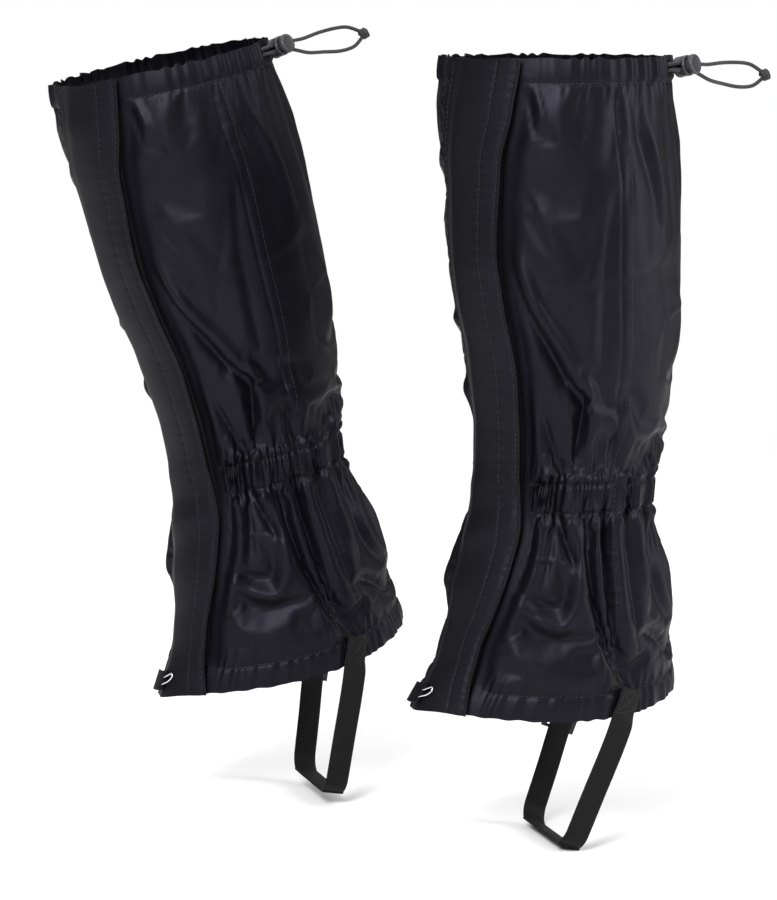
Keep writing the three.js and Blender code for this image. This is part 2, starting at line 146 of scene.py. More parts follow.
def noise1(n, seed, k):
    """Smooth repeatable noise over 0..1 with k knots."""
    r = np.random.default_rng(seed)
    y = r.uniform(-1, 1, k + 4)
    x = np.linspace(0, 1, n) * k
    i = np.floor(x).astype(int)
    t = x - i
    p0, p1, p2, p3 = y[i], y[np.minimum(i + 1, k + 3)], y[np.minimum(i + 2, k + 3)], y[np.minimum(i + 3, k + 3)]
    return 0.5 * ((2 * p1) + (-p0 + p2) * t + (2 * p0 - 5 * p1 + 4 * p2 - p3) * t ** 2 + (-p0 + 3 * p1 - 3 * p2 + p3) * t ** 3)


def view_uv(px, py):
    """Angle and height on the left gaiter's outer side of a point of the camera's frame."""
    sx = (px - 555.5) * 0.62
    h = -(py - 56) * 0.6247
    th = 90.0
    for _ in range(6):
        cx, a, b = ring(np.array(h))
        A, B = -0.966 * a, 0.259 * b
        amp, ph = math.hypot(A, B), math.degrees(math.atan2(B, -A))
        c = np.clip((sx - 0.966 * cx) / -amp, -1, 1)
        th = math.degrees(math.acos(float(c))) - ph
        p = tube(th, h)
        toward = -0.259 * p[0] - 0.966 * p[1]
        z = -(py - 56) * 0.6247 + toward * 0.122
        h = h + (z - p[2])
    return th, h


# folds that show on the outer side: points (camera frame), width and depth in mm (minus is a valley)
FOLDS = [
    ([(511, 256), (531, 301), (556, 340), (583, 384)], 5, 2.6), ([(509, 268), (527, 318), (552, 362), (575, 398)], 5, -3.0),
    ([(598, 212), (588, 250), (574, 290), (566, 330)], 7, -2.0), ([(610, 205), (603, 260), (601, 330), (598, 400)], 6, -2.4),
    ([(592, 300), (590, 360), (588, 420), (585, 470)], 4, 2.2), ([(580, 370), (579, 410), (577, 440), (573, 472)], 3.6, -4.2),
    ([(566, 372), (567, 420), (565, 470)], 4, 2.0), ([(541, 415), (549, 445), (555, 472)], 3.4, -2.6), ([(530, 395), (536, 440), (541, 474)], 4, 1.5),
    ([(612, 425), (616, 450), (619, 474)], 4, -2.2), ([(628, 400), (631, 440), (630, 474)], 4, 1.6), ([(652, 432), (645, 455), (640, 474)], 4, -2.0),
    ([(640, 118), (652, 160), (664, 216)], 4, 1.6), ([(628, 116), (642, 165), (655, 225)], 4, -1.4), ([(618, 110), (624, 140), (630, 170)], 4, 0.9),
    ([(530, 205), (570, 190), (610, 165), (640, 135)], 12, -1.8), ([(525, 150), (545, 125), (560, 105)], 8, 1.6), ([(524, 92), (534, 112), (538, 135)], 3, 1.6),
    ([(519, 100), (527, 118), (530, 140)], 3, -1.8), ([(520, 290), (545, 300), (580, 280), (600, 240)], 14, 1.6),
    ([(672, 285), (674, 320), (668, 360)], 5, 1.8), ([(660, 270), (662, 320), (655, 380)], 6, -1.8),
    # below the ankle band
    ([(601, 506), (604, 537), (607, 582), (613, 628), (622, 662), (627, 692)], 3.8, -6.2), ([(583, 502), (585, 537), (594, 605), (606, 645), (619, 676)], 3.8, -4.6),
    ([(592, 506), (596, 550), (602, 600), (611, 640)], 3.4, 2.8), ([(557, 502), (566, 545), (574, 566)], 4, -3.6), ([(571, 506), (578, 550), (584, 600), (590, 640)], 6, 2.6),
    ([(544, 506), (541, 545), (527, 590), (507, 630)], 5, 2.6), ([(533, 508), (528, 550), (512, 592), (500, 622)], 4, -2.6), ([(552, 512), (548, 550), (539, 585)], 4, -2.0),
    ([(516, 600), (538, 617), (562, 624), (573, 600), (576, 570)], 4.5, 3.0), ([(522, 592), (543, 604), (560, 604), (567, 580)], 5, -2.8), ([(520, 612), (530, 630), (552, 640), (580, 636)], 6, -2.4),
    ([(512, 634), (516, 655), (530, 662)], 5, 1.8), ([(614, 506), (618, 560), (624, 610), (632, 650)], 5, 2.4), ([(626, 506), (629, 560), (636, 610), (640, 660)], 4.5, -2.8),
    ([(638, 508), (643, 560), (650, 600)], 4.5, 2.0), ([(648, 508), (652, 550), (660, 590), (668, 612)], 4, -1.8), ([(656, 540), (664, 585), (674, 618)], 5, 2.6), ([(674, 655), (664, 640), (650, 632)], 5, -3.6),
    ([(600, 640), (604, 665), (606, 688)], 5, 1.8), ([(636, 664), (634, 684), (631, 694)], 4, -1.6),
]


def hidden_folds():
    """Folds on the sides the camera doesn't see, in the same manner."""
    r = np.random.default_rng(5)
    out = []
    for th in np.arange(176, 352, 9.5):
        t = th + r.uniform(-3, 3)
        out.append(([(t, -262), (t + r.uniform(-3, 3), -236), (t + r.uniform(-7, 7), -200 + r.uniform(-15, 15))], r.uniform(3.4, 5), r.choice([-1, 1]) * r.uniform(1.6, 3.2)))
    for th in np.arange(172, 356, 9.0):
        t = th + r.uniform(-3, 3)
        out.append(([(t, -284), (t + r.uniform(-3, 3), -315), (t + r.uniform(-7, 7), -350 + r.uniform(-15, 15))], r.uniform(3.4, 5.5), r.choice([-1, 1]) * r.uniform(2, 3.8)))
    for h in (-62, -84, -118, -160, -205, -236):
        out.append(([(330, h - r.uniform(-12, 12)), (341, h - 4), (352, h + r.uniform(-14, 14))], r.uniform(4, 7), r.choice([-1, 1]) * r.uniform(1.2, 2.2)))
    for th, d in ((336, -2.4), (343, 2.0), (350, -2.2), (355, 1.4)):
        out.append(([(th, -284), (th - 2, -316), (th - 6, -352)], 4.5, d))
        out.append(([(th, -262), (th - 3, -238), (th - 9, -204)], 4.5, -d))
    for th in (250, 246, 254):
        out.append(([(th - 8, -288), (th - 4, -330), (th, -385)], 4, -3.2))
    for k in range(16):
        t, h = r.uniform(172, 350), r.uniform(-190, -40)
        d = r.uniform(-16, 16)
        out.append(([(t, h + 26), (t + d * 0.5, h), (t + d, h - 26)], r.uniform(6, 11), r.choice([-1, 1]) * r.uniform(1.2, 2.4)))
    return out


def catmull(pts, n):
    p = np.asarray(pts, float)
    p = np.vstack([2 * p[0] - p[1], p, 2 * p[-1] - p[-2]])
    out = []
    for i in range(1, len(p) - 2):
        for t in np.linspace(0, 1, n, endpoint=False):
            out.append(0.5 * ((2 * p[i]) + (-p[i - 1] + p[i + 1]) * t + (2 * p[i - 1] - 5 * p[i] + 4 * p[i + 1] - p[i + 2]) * t ** 2 + (-p[i - 1] + 3 * p[i] - 3 * p[i + 1] + p[i + 2]) * t ** 3))
    out.append(p[-2])
    return np.array(out)


FOLD_LINES = []
for pts, w, d in FOLDS:
    FOLD_LINES.append((catmull([view_uv(*p) for p in pts], 6), w, d))
for pts, w, d in hidden_folds():
    FOLD_LINES.append((catmull(pts, 6), w, d))


def folds(th, h):
    """Broad folds, in mm outwards."""
    out = np.zeros_like(th)
    R = 62.0 * math.pi / 180
    for line, w, d in FOLD_LINES:
        lo, hi = line[:, 1].min() - 3 * w, line[:, 1].max() + 3 * w
        m = (h > lo) & (h < hi) & (th > line[:, 0].min() - 3 * w / R) & (th < line[:, 0].max() + 3 * w / R)
        if not m.any():
            continue
        x, y = th[m] * R, h[m]
        best, at = np.full(x.shape, 1e9), np.zeros(x.shape)
        n = len(line) - 1
        for i in range(n):
            ax, ay, bx, by = line[i, 0] * R, line[i, 1], line[i + 1, 0] * R, line[i + 1, 1]
            t = np.clip(((x - ax) * (bx - ax) + (y - ay) * (by - ay)) / ((bx - ax) ** 2 + (by - ay) ** 2), 0, 1)
            dd = np.hypot(x - ax - t * (bx - ax), y - ay - t * (by - ay))
            s = dd < best
            best[s], at[s] = dd[s], (i + t[s]) / n
        fade = np.sin(np.clip(at * 0.9 + 0.05, 0, 1) * math.pi) ** 0.5
        prof = np.exp(-(best / w) ** 2) if d > 0 else np.exp(-(best / (0.85 * w)) ** 1.5)
        out[m] += 1.25 * d * fade * prof
    return out


BAND = (-262.0, -280.0)
SEAM_TH = 103.0
EXIT_TH = (143.0, 152.0)


def under_flap(th, h):
    """1 under the flap and just past its free edge, where the fabric lies flat and a little inwards."""
    f = free(h)
    return (1 - sstep(th, f + 3, f + 12))


def broad(th, h):
    d = folds(th, h)
    d = d * (0.15 + 0.85 * (1 - under_flap(th, h)))
    d = d * (1 - sstep((th - sewn(h) - 4) / 355, 0.955, 0.985))
    # the fabric swells out between the casing, the band and the hem
    d = d + (1.2 * np.sin(np.pi * np.clip((h + 20) / -235, 0, 1)) + 1.6 * np.sin(np.pi * np.clip((h + 284) / -106, 0, 1))) * (1 - sstep((th - sewn(h) - 4) / 355, 0.96, 0.99))
    d = d - 2.6 * under_flap(th, h) * sstep(-h, 10, 30) * (1 - sstep(-h, 388, 400))
    return d


# the mesh of the shell: columns run round from under the flap to the flap's sewn edge
def shell_angles(u, h):
    return sewn(h) + 4 + u * 355.0


def simulate(P, pin, frames=26):
    """Blender's own cloth solver on a coarse grid; returns the relaxed grid (mm)."""
    nv, nu = P.shape[:2]
    K = 0.01                                   # 10 times real size, which the solver likes
    me = bpy.data.meshes.new("sim")
    idx = np.arange(nv * nu).reshape(nv, nu)
    quads = np.stack([idx[:-1, :-1], idx[1:, :-1], idx[1:, 1:], idx[:-1, 1:]], -1).reshape(-1, 4)
    me.from_pydata((P.reshape(-1, 3) * K).tolist(), [], quads.tolist())
    ob = bpy.data.objects.new("sim", me)
    bpy.context.scene.collection.objects.link(ob)
    g = ob.vertex_groups.new(name="pin")
    flat = pin.reshape(-1)
    for level in np.unique(np.round(flat, 2)):
        if level > 0:
            g.add(np.nonzero(np.abs(np.round(flat, 2) - level) < 1e-6)[0].tolist(), float(level), "REPLACE")
    mod = ob.modifiers.new("cloth", "CLOTH")
    s = mod.settings
    s.quality = 7
    s.mass = 0.25
    s.tension_stiffness, s.compression_stiffness, s.shear_stiffness, s.bending_stiffness = 22, 22, 8, 1.2
    s.tension_damping = s.compression_damping = 12
    s.air_damping = 6
    s.vertex_group_mass = "pin"
    s.pin_stiffness = 1.0
    s.shrink_min = -0.016
    s.shrink_max = -0.016
    s.effector_weights.gravity = 0.25
    mod.collision_settings.use_collision = False
    mod.collision_settings.use_self_collision = False
    mod.point_cache.frame_start, mod.point_cache.frame_end = 1, frames
    sc = bpy.context.scene
    for f in range(1, frames + 1):
        sc.frame_set(f)
    dg = bpy.context.evaluated_depsgraph_get()
    ev = ob.evaluated_get(dg).to_mesh()
    co = np.empty(len(ev.vertices) * 3)
    ev.vertices.foreach_get("co", co)
    ob.evaluated_get(dg).to_mesh_clear()
    bpy.data.objects.remove(ob)
    bpy.data.meshes.remove(me)
    sc.frame_set(1)
    return co.reshape(nv, nu, 3) / K


def upsample(G, n, axis):
    """Cubic interpolation of a grid along one axis to n samples."""
    G = np.moveaxis(G, axis, 0)
    m = G.shape[0]
    x = np.linspace(0, m - 1, n)
    i = np.minimum(np.floor(x).astype(int), m - 2)
    t = (x - i).reshape((-1,) + (1,) * (G.ndim - 1))
    e = np.concatenate([[2 * G[0] - G[1]], G, [2 * G[-1] - G[-2]]])
    p0, p1, p2, p3 = e[i], e[i + 1], e[i + 2], e[i + 3]
    o = 0.5 * ((2 * p1) + (-p0 + p2) * t + (2 * p0 - 5 * p1 + 4 * p2 - p3) * t ** 2 + (-p0 + 3 * p1 - 3 * p2 + p3) * t ** 3)
    return np.moveaxis(o, 0, axis)


def grid_normals(P):
    du, dv = np.gradient(P, axis=1), np.gradient(P, axis=0)
    n = np.cross(dv, du)
    n /= np.linalg.norm(n, axis=-1, keepdims=True) + 1e-12
    return n


NU0, NV0 = 170, 116
u0 = np.linspace(0, 1, NU0)
h0 = np.linspace(0, Z_END, NV0)
H0, U0 = np.meshgrid(h0, u0, indexing="ij")
T0 = shell_angles(U0, H0)
P0 = tube(T0, H0, broad(T0, H0))
held = np.full(H0.shape, 0.10)
held = np.maximum(held, 1 - sstep(np.minimum(np.abs(H0 - BAND[0]), np.abs(H0 - BAND[1])), 2, 6))
held = np.maximum(held, ((H0 < BAND[0]) & (H0 > BAND[1])) * 1.0)
held = np.maximum(held, sstep(H0, -22, -13))
held = np.maximum(held, sstep(-H0, 386, 395))
held = np.maximum(held, under_flap(T0, H0))
held = np.maximum(held, sstep(U0, 0.955, 0.985))
P1 = simulate(P0, held)
move = P1 - P0
far = np.linalg.norm(move, axis=-1, keepdims=True)
calm = sstep(T0, free(H0) + 7, free(H0) + 24)[..., None]
P0 = P0 + move * np.minimum(1, 3.5 / np.maximum(far, 1e-6)) * calm

NU, NV = 520, 330
uu = np.linspace(0, 1, NU)
hh = np.linspace(0, Z_END, NV)
HH, UU = np.meshgrid(hh, uu, indexing="ij")
TH = shell_angles(UU, HH)
PF = upsample(upsample(P0, NV, 0), NU, 1)
NF = grid_normals(PF)
if (NF * (PF * np.array([1, 1, 0]))).sum() < 0:
    NF = -NF
OUTWARD = 1.0

ARC = TH * 62.0 * math.pi / 180        # rough distance round the leg


def gathers(period, seed, jitter=0.32, sharp=1.0):
    x = (ARC - ARC.min()) / period
    n = noise1(4000, seed, int(460 / period * 0.55))
    ph = x + jitter * 2 * np.interp(ARC, np.linspace(ARC.min(), ARC.max(), 4000), n)
    s = 0.5 + 0.5 * np.sin(2 * np.pi * ph)
    amp = 0.75 + 0.45 * np.interp(ARC, np.linspace(ARC.min(), ARC.max(), 4000), noise1(4000, seed + 1, int(460 / period * 0.4)))
    return (2 * s ** sharp - 1) * amp


def noise2(kv, ku, seed):
    """Smooth repeatable noise over the shell's grid, about -1 to 1."""
    g = np.random.default_rng(seed).uniform(-1, 1, (kv, ku))
    return upsample(upsample(g, NV, 0), NU, 1)


def fine_detail():
    d = np.zeros_like(HH)
    open_part = 1 - under_flap(TH, HH)
    end = 1 - sstep(UU, 0.94, 0.97)
    on_band = open_part * end
    # ankle band: close pleats, pinched at both stitch rows
    inside = sstep(HH, BAND[1] - 3, BAND[1] + 1) * (1 - sstep(HH, BAND[0] - 1, BAND[0] + 3))
    near = np.exp(-(np.maximum(0, np.maximum(HH - BAND[0], BAND[1] - HH)) / 6.5) ** 1.4)
    mid = np.exp(-(np.maximum(0, np.maximum(HH - BAND[0], BAND[1] - HH)) / 24) ** 1.6) * (1 - 0.4 * inside)
    d += on_band * (1.7 * near * gathers(6.6, 21, 0.3, 1.6) + 1.7 * mid * gathers(14.0, 33, 0.36, 1.4))
    pinch = bump(HH, BAND[0], 1.5) + bump(HH, BAND[1], 1.5)
    d -= on_band * 1.7 * pinch
    puff = bump(HH, BAND[0] + 5.0, 3.6) + bump(HH, BAND[1] - 5.0, 3.8)
    d += on_band * 1.5 * puff * np.maximum(gathers(9.0, 25, 0.3, 1.3), -0.4)
    d += on_band * 0.8 * inside
    d += on_band * 1.1 * (bump(HH, BAND[0] + 6, 4) + bump(HH, BAND[1] - 6, 4))
    # top casing: puckers, closest at the back by the cord
    back = sstep(TH, 92, 125)
    top = np.exp(-(np.maximum(0, -HH - 15) / 6.5) ** 1.4) * (1 - 0.45 * sstep(-HH, 14, 17))
    inside = sstep(HH, -15.5, -13.5)
    d += top * open_part * end * ((0.25 + 1.15 * back) * gathers(8.0, 41, 0.3, 1.3) + (0.35 + 0.6 * back) * gathers(17, 43, 0.4, 1.2))
    d -= 1.0 * bump(HH, -15.0, 1.1) * (0.4 + 0.6 * open_part)
    d += 0.7 * inside * np.sin(np.clip(-HH / 15, 0, 1) * math.pi) * (0.4 + 0.6 * open_part)
    # bottom hem: light puckers over a wide elastic
    low = np.exp(-(np.maximum(0, HH + 394) / 9) ** 1.5)
    d += low * open_part * end * (0.55 * gathers(7.5, 51, 0.35, 1.2) + 0.45 * gathers(15, 53, 0.3))
    d -= 0.9 * bump(HH, Z_END + 15, 1.1) * open_part
    d += 0.5 * np.sin(np.clip((HH - Z_END) / 15, 0, 1) * math.pi) * (HH < Z_END + 15) * open_part
    # long seams: a narrow groove with a raised allowance on one side
    for seam in (SEAM_TH, 257.0):
        x = (TH - seam) * 62 * math.pi / 180
        body = sstep(-HH, 15, 20) * (1 - sstep(-HH, 390, 394))
        d += body * (-0.55 * bump(x, 0, 0.9) + 0.30 * bump(x, 3.2, 2.6))
        ripple = np.sin(HH * 2 * math.pi / 7.5 + 2 * noise1(NV, 61, 40)[:, None])
        d += body * 0.10 * ripple * bump(x, 2.0, 4.5)
    # uneven creases all over: soft swells, small dents and a few sharper ridges
    calm = open_part * (1 - sstep(UU, 0.955, 0.985)) * (1 - 0.7 * (HH > -15)) * (1 - 0.7 * (HH < Z_END + 15))
    d += 0.55 * noise2(14, 16, 201) * calm + 0.26 * noise2(30, 36, 202) * calm + 0.07 * noise2(75, 90, 203) * calm
    ridge = np.maximum(0, 1 - np.abs(noise2(15, 11, 204)) * 5) ** 1.5
    d += 0.45 * ridge * calm * (0.35 + 0.65 * (noise2(6, 6, 205) > 0))
    ridge = np.maximum(0, 1 - np.abs(noise2(20, 14, 206)) * 5) ** 1.5
    d -= 0.40 * ridge * calm * sstep(-HH, 200, 300)
    return d


DF = fine_detail()
PF = PF + NF * DF[..., None]
# the casing's top edge dips and rises a little between the gathers
wave = gathers(11.0, 91, 0.35)
lift = np.clip(1 + HH / 9, 0, 1)
PF[..., 2] += lift * wave * 1.0 * (1 - 0.6 * under_flap(TH, HH))
low = np.clip(1 - (HH - Z_END) / 10, 0, 1)
PF[..., 2] += low * gathers(12.5, 95, 0.3) * 0.45
NF = grid_normals(PF)
if (NF * (PF * np.array([1, 1, 0]))).sum() < 0:
    NF = -NF


def on_shell(th, h, off=0.0):
    """A point on the finished cloth (mm)."""
    th, h = np.broadcast_arrays(np.asarray(th, float), np.asarray(h, float))
    u = np.clip((th - sewn(h) - 4) / 355.0, 0, 1) * (NU - 1)
    v = np.clip(h / Z_END, 0, 1) * (NV - 1)
    i, j = np.minimum(v.astype(int), NV - 2), np.minimum(u.astype(int), NU - 2)
    a, b = (v - i)[..., None], (u - j)[..., None]

    def take(G):
        return (G[i, j] * (1 - a) * (1 - b) + G[i + 1, j] * a * (1 - b) + G[i, j + 1] * (1 - a) * b + G[i + 1, j + 1] * a * b)
    n = take(NF)
    n = n / np.linalg.norm(n, axis=-1, keepdims=True)
    return take(PF) + n * np.asarray(off, float)[..., None], n


# ------------------------------------------------------------------ two copies of everything
PITCH = math.radians(-12.5)
RIGHT = Matrix.Translation(Vector((-216, 170, -6)) * MM) @ Matrix.Rotation(PITCH, 4, "Y")
SIDES = {"left": Matrix.Identity(4), "right": RIGHT}


def move_points(side, P):
    M = np.array(SIDES[side])
    return np.asarray(P, float) @ M[:3, :3].T + M[:3, 3]


def new_mesh(name, side, P, faces, mat, uv=None, smooth=True, crisp=70):
    """P in mm in the left gaiter's frame; faces as lists; uv per vertex in metres."""
    me = bpy.data.meshes.new(f"{side}_{name}")
    me.from_pydata(move_points(side, np.asarray(P, float).reshape(-1, 3) * MM).tolist(), [], faces if isinstance(faces, list) else faces.tolist())
    if smooth:
        me.polygons.foreach_set("use_smooth", np.ones(len(me.polygons), bool))
    if uv is not None:
        layer = me.uv_layers.new(name="cloth")
        loops = np.empty(len(me.loops), int)
        me.loops.foreach_get("vertex_index", loops)
        layer.data.foreach_set("uv", np.asarray(uv, float).reshape(-1, 2)[loops].ravel())
    me.materials.append(mat)
    me.update()
    if crisp:
        me.set_sharp_from_angle(angle=math.radians(crisp))
    ob = bpy.data.objects.new(f"{side}_{name}", me)
    bpy.context.scene.collection.objects.link(ob)
    return ob


def sheet_mesh(P, N, thick, closed_edges=True):
    """Two faces and the rim of a cloth grid. Returns points and faces."""
    nv, nu = P.shape[:2]
    V = np.concatenate([P.reshape(-1, 3), (P - N * thick).reshape(-1, 3)])
    a = np.arange(nv * nu).reshape(nv, nu)
    b = a + nv * nu
    F = [np.stack([a[:-1, :-1], a[1:, :-1], a[1:, 1:], a[:-1, 1:]], -1).reshape(-1, 4),
         np.stack([b[:-1, :-1], b[:-1, 1:], b[1:, 1:], b[1:, :-1]], -1).reshape(-1, 4)]
    rim = [(a[0, :-1], a[0, 1:], b[0, 1:], b[0, :-1]), (a[-1, 1:], a[-1, :-1], b[-1, :-1], b[-1, 1:]),
           (a[1:, 0], a[:-1, 0], b[:-1, 0], b[1:, 0]), (a[:-1, -1], a[1:, -1], b[1:, -1], b[:-1, -1])]
    keep = [True] * 4 if closed_edges is True else closed_edges
    for k, r in zip(keep, rim):
        if k:
            F.append(np.stack(r, -1).reshape(-1, 4))
    F = np.concatenate(F)
    # make the first face point along its normal
    p = V[F[0]]
    n = np.cross(p[1] - p[0], p[2] - p[0])
    if n @ N[0, 0] < 0:
        F = F[:, ::-1]
    return V, F


# ------------------------------------------------------------------ materials
def nodes_of(mat):
    mat.use_nodes = True
    nt = mat.node_tree
    nt.nodes.clear()
    out = nt.nodes.new("ShaderNodeOutputMaterial")
    sh = nt.nodes.new("ShaderNodeBsdfPrincipled")
    nt.links.new(sh.outputs[0], out.inputs[0])
    return nt, sh


def add(nt, kind, **kw):
    n = nt.nodes.new(kind)
    for k, v in kw.items():
        if k.startswith("in_"):
            n.inputs[int(k[3:]) if k[3:].isdigit() else k[3:]].default_value = v
        else:
            setattr(n, k, v)
    return n


def ramp(nt, src, stops):
    r = nt.nodes.new("ShaderNodeValToRGB")
    el = r.color_ramp.elements
    while len(el) > 1:
        el.remove(el[-1])
    el[0].position, el[0].color = stops[0][0], stops[0][1]
    for p, c in stops[1:]:
        e = el.new(p)
        e.color = c
    nt.links.new(src, r.inputs[0])
    return r


def math_node(nt, op, a, b=None, c=None):
    m = nt.nodes.new("ShaderNodeMath")
    m.operation = op
    for i, x in enumerate((a, b, c)):
        if x is None:
            continue
        if isinstance(x, (int, float)):
            m.inputs[i].default_value = x
        else:
            nt.links.new(x, m.inputs[i])
    return m.outputs[0]


def fabric_material(name, dark, light, rough=(0.36, 0.50), weave=0.00055, bump_mm=0.05, sheen=0.25, spec=0.5):
    """Coated plain weave: two crossed thread waves in cloth metres, broad tone changes, scuffs and fine creases."""
    mat = bpy.data.materials.new(name)
    nt, sh = nodes_of(mat)
    uv = add(nt, "ShaderNodeUVMap", uv_map="cloth")
    sep = add(nt, "ShaderNodeSeparateXYZ")
    nt.links.new(uv.outputs[0], sep.inputs[0])
    k = 2 * math.pi / weave
    wx = math_node(nt, "SINE", math_node(nt, "MULTIPLY", sep.outputs[0], k))
    wy = math_node(nt, "SINE", math_node(nt, "MULTIPLY", sep.outputs[1], k))
    weave_v = math_node(nt, "MULTIPLY", wx, wy)
    weave_n = math_node(nt, "MULTIPLY_ADD", weave_v, 0.5, 0.5)
    obj = add(nt, "ShaderNodeTexCoord")
    cloud = add(nt, "ShaderNodeTexNoise", in_2=9.0, in_3=3.0, in_4=0.55)
    nt.links.new(obj.outputs["Object"], cloud.inputs["Vector"])
    fine = add(nt, "ShaderNodeTexNoise", in_2=420.0, in_3=4.0, in_4=0.6)
    nt.links.new(obj.outputs["Object"], fine.inputs["Vector"])
    crease = add(nt, "ShaderNodeTexNoise", in_2=65.0, in_3=5.0, in_4=0.62)
    nt.links.new(obj.outputs["Object"], crease.inputs["Vector"])
    tone = math_node(nt, "ADD", math_node(nt, "MULTIPLY", cloud.outputs[0], 0.75), math_node(nt, "MULTIPLY", fine.outputs[0], 0.12))
    tone = math_node(nt, "ADD", tone, math_node(nt, "MULTIPLY", weave_n, 0.13))
    r = ramp(nt, tone, [(0.30, (*dark, 1)), (0.72, (*light, 1))])
    nt.links.new(r.outputs[0], sh.inputs["Base Color"])
    rr = math_node(nt, "ADD", math_node(nt, "MULTIPLY", crease.outputs[0], rough[1] - rough[0]), rough[0])
    rr = math_node(nt, "ADD", rr, math_node(nt, "MULTIPLY", weave_n, 0.04))
    nt.links.new(rr, sh.inputs["Roughness"])
    sh.inputs["Sheen Weight"].default_value = sheen
    sh.inputs["Sheen Tint"].default_value = (0.75, 0.72, 0.95, 1)
    sh.inputs["Sheen Roughness"].default_value = 0.45
    sh.inputs["Specular IOR Level"].default_value = spec
    sh.inputs["Specular Tint"].default_value = (0.80, 0.76, 1.0, 1)
    b1 = add(nt, "ShaderNodeBump")
    b1.inputs["Strength"].default_value = 0.55
    b1.inputs["Distance"].default_value = bump_mm * MM
    nt.links.new(weave_n, b1.inputs["Height"])
    b2 = add(nt, "ShaderNodeBump")
    b2.inputs["Strength"].default_value = 0.45
    b2.inputs["Distance"].default_value = 0.9 * MM
    nt.links.new(crease.outputs[0], b2.inputs["Height"])
    nt.links.new(b1.outputs[0], b2.inputs["Normal"])
    nt.links.new(b2.outputs[0], sh.inputs["Normal"])
    return mat


def surface_material(name, dark, light, rough, scale=600.0, bump_mm=0.04, metallic=0.0, stretch=(1, 1, 1), spec=0.35):
    mat = bpy.data.materials.new(name)
    nt, sh = nodes_of(mat)
    obj = add(nt, "ShaderNodeTexCoord")
    mp = add(nt, "ShaderNodeMapping")
    mp.inputs["Scale"].default_value = stretch
    nt.links.new(obj.outputs["Object"], mp.inputs[0])
    grain = add(nt, "ShaderNodeTexNoise", in_2=scale, in_3=4.0, in_4=0.6)
    nt.links.new(mp.outputs[0], grain.inputs["Vector"])
    cloud = add(nt, "ShaderNodeTexNoise", in_2=scale / 22, in_3=3.0, in_4=0.5)
    nt.links.new(mp.outputs[0], cloud.inputs["Vector"])
    tone = math_node(nt, "ADD", math_node(nt, "MULTIPLY", grain.outputs[0], 0.4), math_node(nt, "MULTIPLY", cloud.outputs[0], 0.6))
    r = ramp(nt, tone, [(0.32, (*dark, 1)), (0.68, (*light, 1))])
    nt.links.new(r.outputs[0], sh.inputs["Base Color"])
    rr = math_node(nt, "MULTIPLY_ADD", cloud.outputs[0], rough[1] - rough[0], rough[0])
    nt.links.new(rr, sh.inputs["Roughness"])
    sh.inputs["Metallic"].default_value = metallic
    sh.inputs["Specular IOR Level"].default_value = 0.5 if metallic else spec
    b = add(nt, "ShaderNodeBump")
    b.inputs["Strength"].default_value = 0.5
    b.inputs["Distance"].default_value = bump_mm * MM
    nt.links.new(grain.outputs[0], b.inputs["Height"])
    nt.links.new(b.outputs[0], sh.inputs["Normal"])
    return mat


def wave_material(name, dark, light, rough, pitch, angle2, bump_mm, sheen=0.02, spec=0.25):
    """Braid, webbing or rib: two thread directions in the piece's own cloth metres."""
    mat = bpy.data.materials.new(name)
    nt, sh = nodes_of(mat)
    uv = add(nt, "ShaderNodeUVMap", uv_map="cloth")
    sep = add(nt, "ShaderNodeSeparateXYZ")
    nt.links.new(uv.outputs[0], sep.inputs[0])
    k = 2 * math.pi / pitch
    ax, ay = angle2
    s1 = math_node(nt, "SINE", math_node(nt, "ADD", math_node(nt, "MULTIPLY", sep.outputs[0], k * ax), math_node(nt, "MULTIPLY", sep.outputs[1], k * ay)))
    s2 = math_node(nt, "SINE", math_node(nt, "SUBTRACT", math_node(nt, "MULTIPLY", sep.outputs[0], k * ax), math_node(nt, "MULTIPLY", sep.outputs[1], k * ay)))
    w = math_node(nt, "MULTIPLY_ADD", math_node(nt, "MULTIPLY", s1, s2), 0.5, 0.5)
    obj = add(nt, "ShaderNodeTexCoord")
    cloud = add(nt, "ShaderNodeTexNoise", in_2=60.0, in_3=3.0, in_4=0.5)
    nt.links.new(obj.outputs["Object"], cloud.inputs["Vector"])
    tone = math_node(nt, "ADD", math_node(nt, "MULTIPLY", w, 0.6), math_node(nt, "MULTIPLY", cloud.outputs[0], 0.4))
    r = ramp(nt, tone, [(0.2, (*dark, 1)), (0.8, (*light, 1))])
    nt.links.new(r.outputs[0], sh.inputs["Base Color"])
    rr = math_node(nt, "MULTIPLY_ADD", cloud.outputs[0], rough[1] - rough[0], rough[0])
    nt.links.new(rr, sh.inputs["Roughness"])
    sh.inputs["Sheen Weight"].default_value = sheen
    sh.inputs["Specular IOR Level"].default_value = spec
    b = add(nt, "ShaderNodeBump")
    b.inputs["Strength"].default_value = 0.7
    b.inputs["Distance"].default_value = bump_mm * MM
    nt.links.new(w, b.inputs["Height"])
    nt.links.new(b.outputs[0], sh.inputs["Normal"])
    return mat


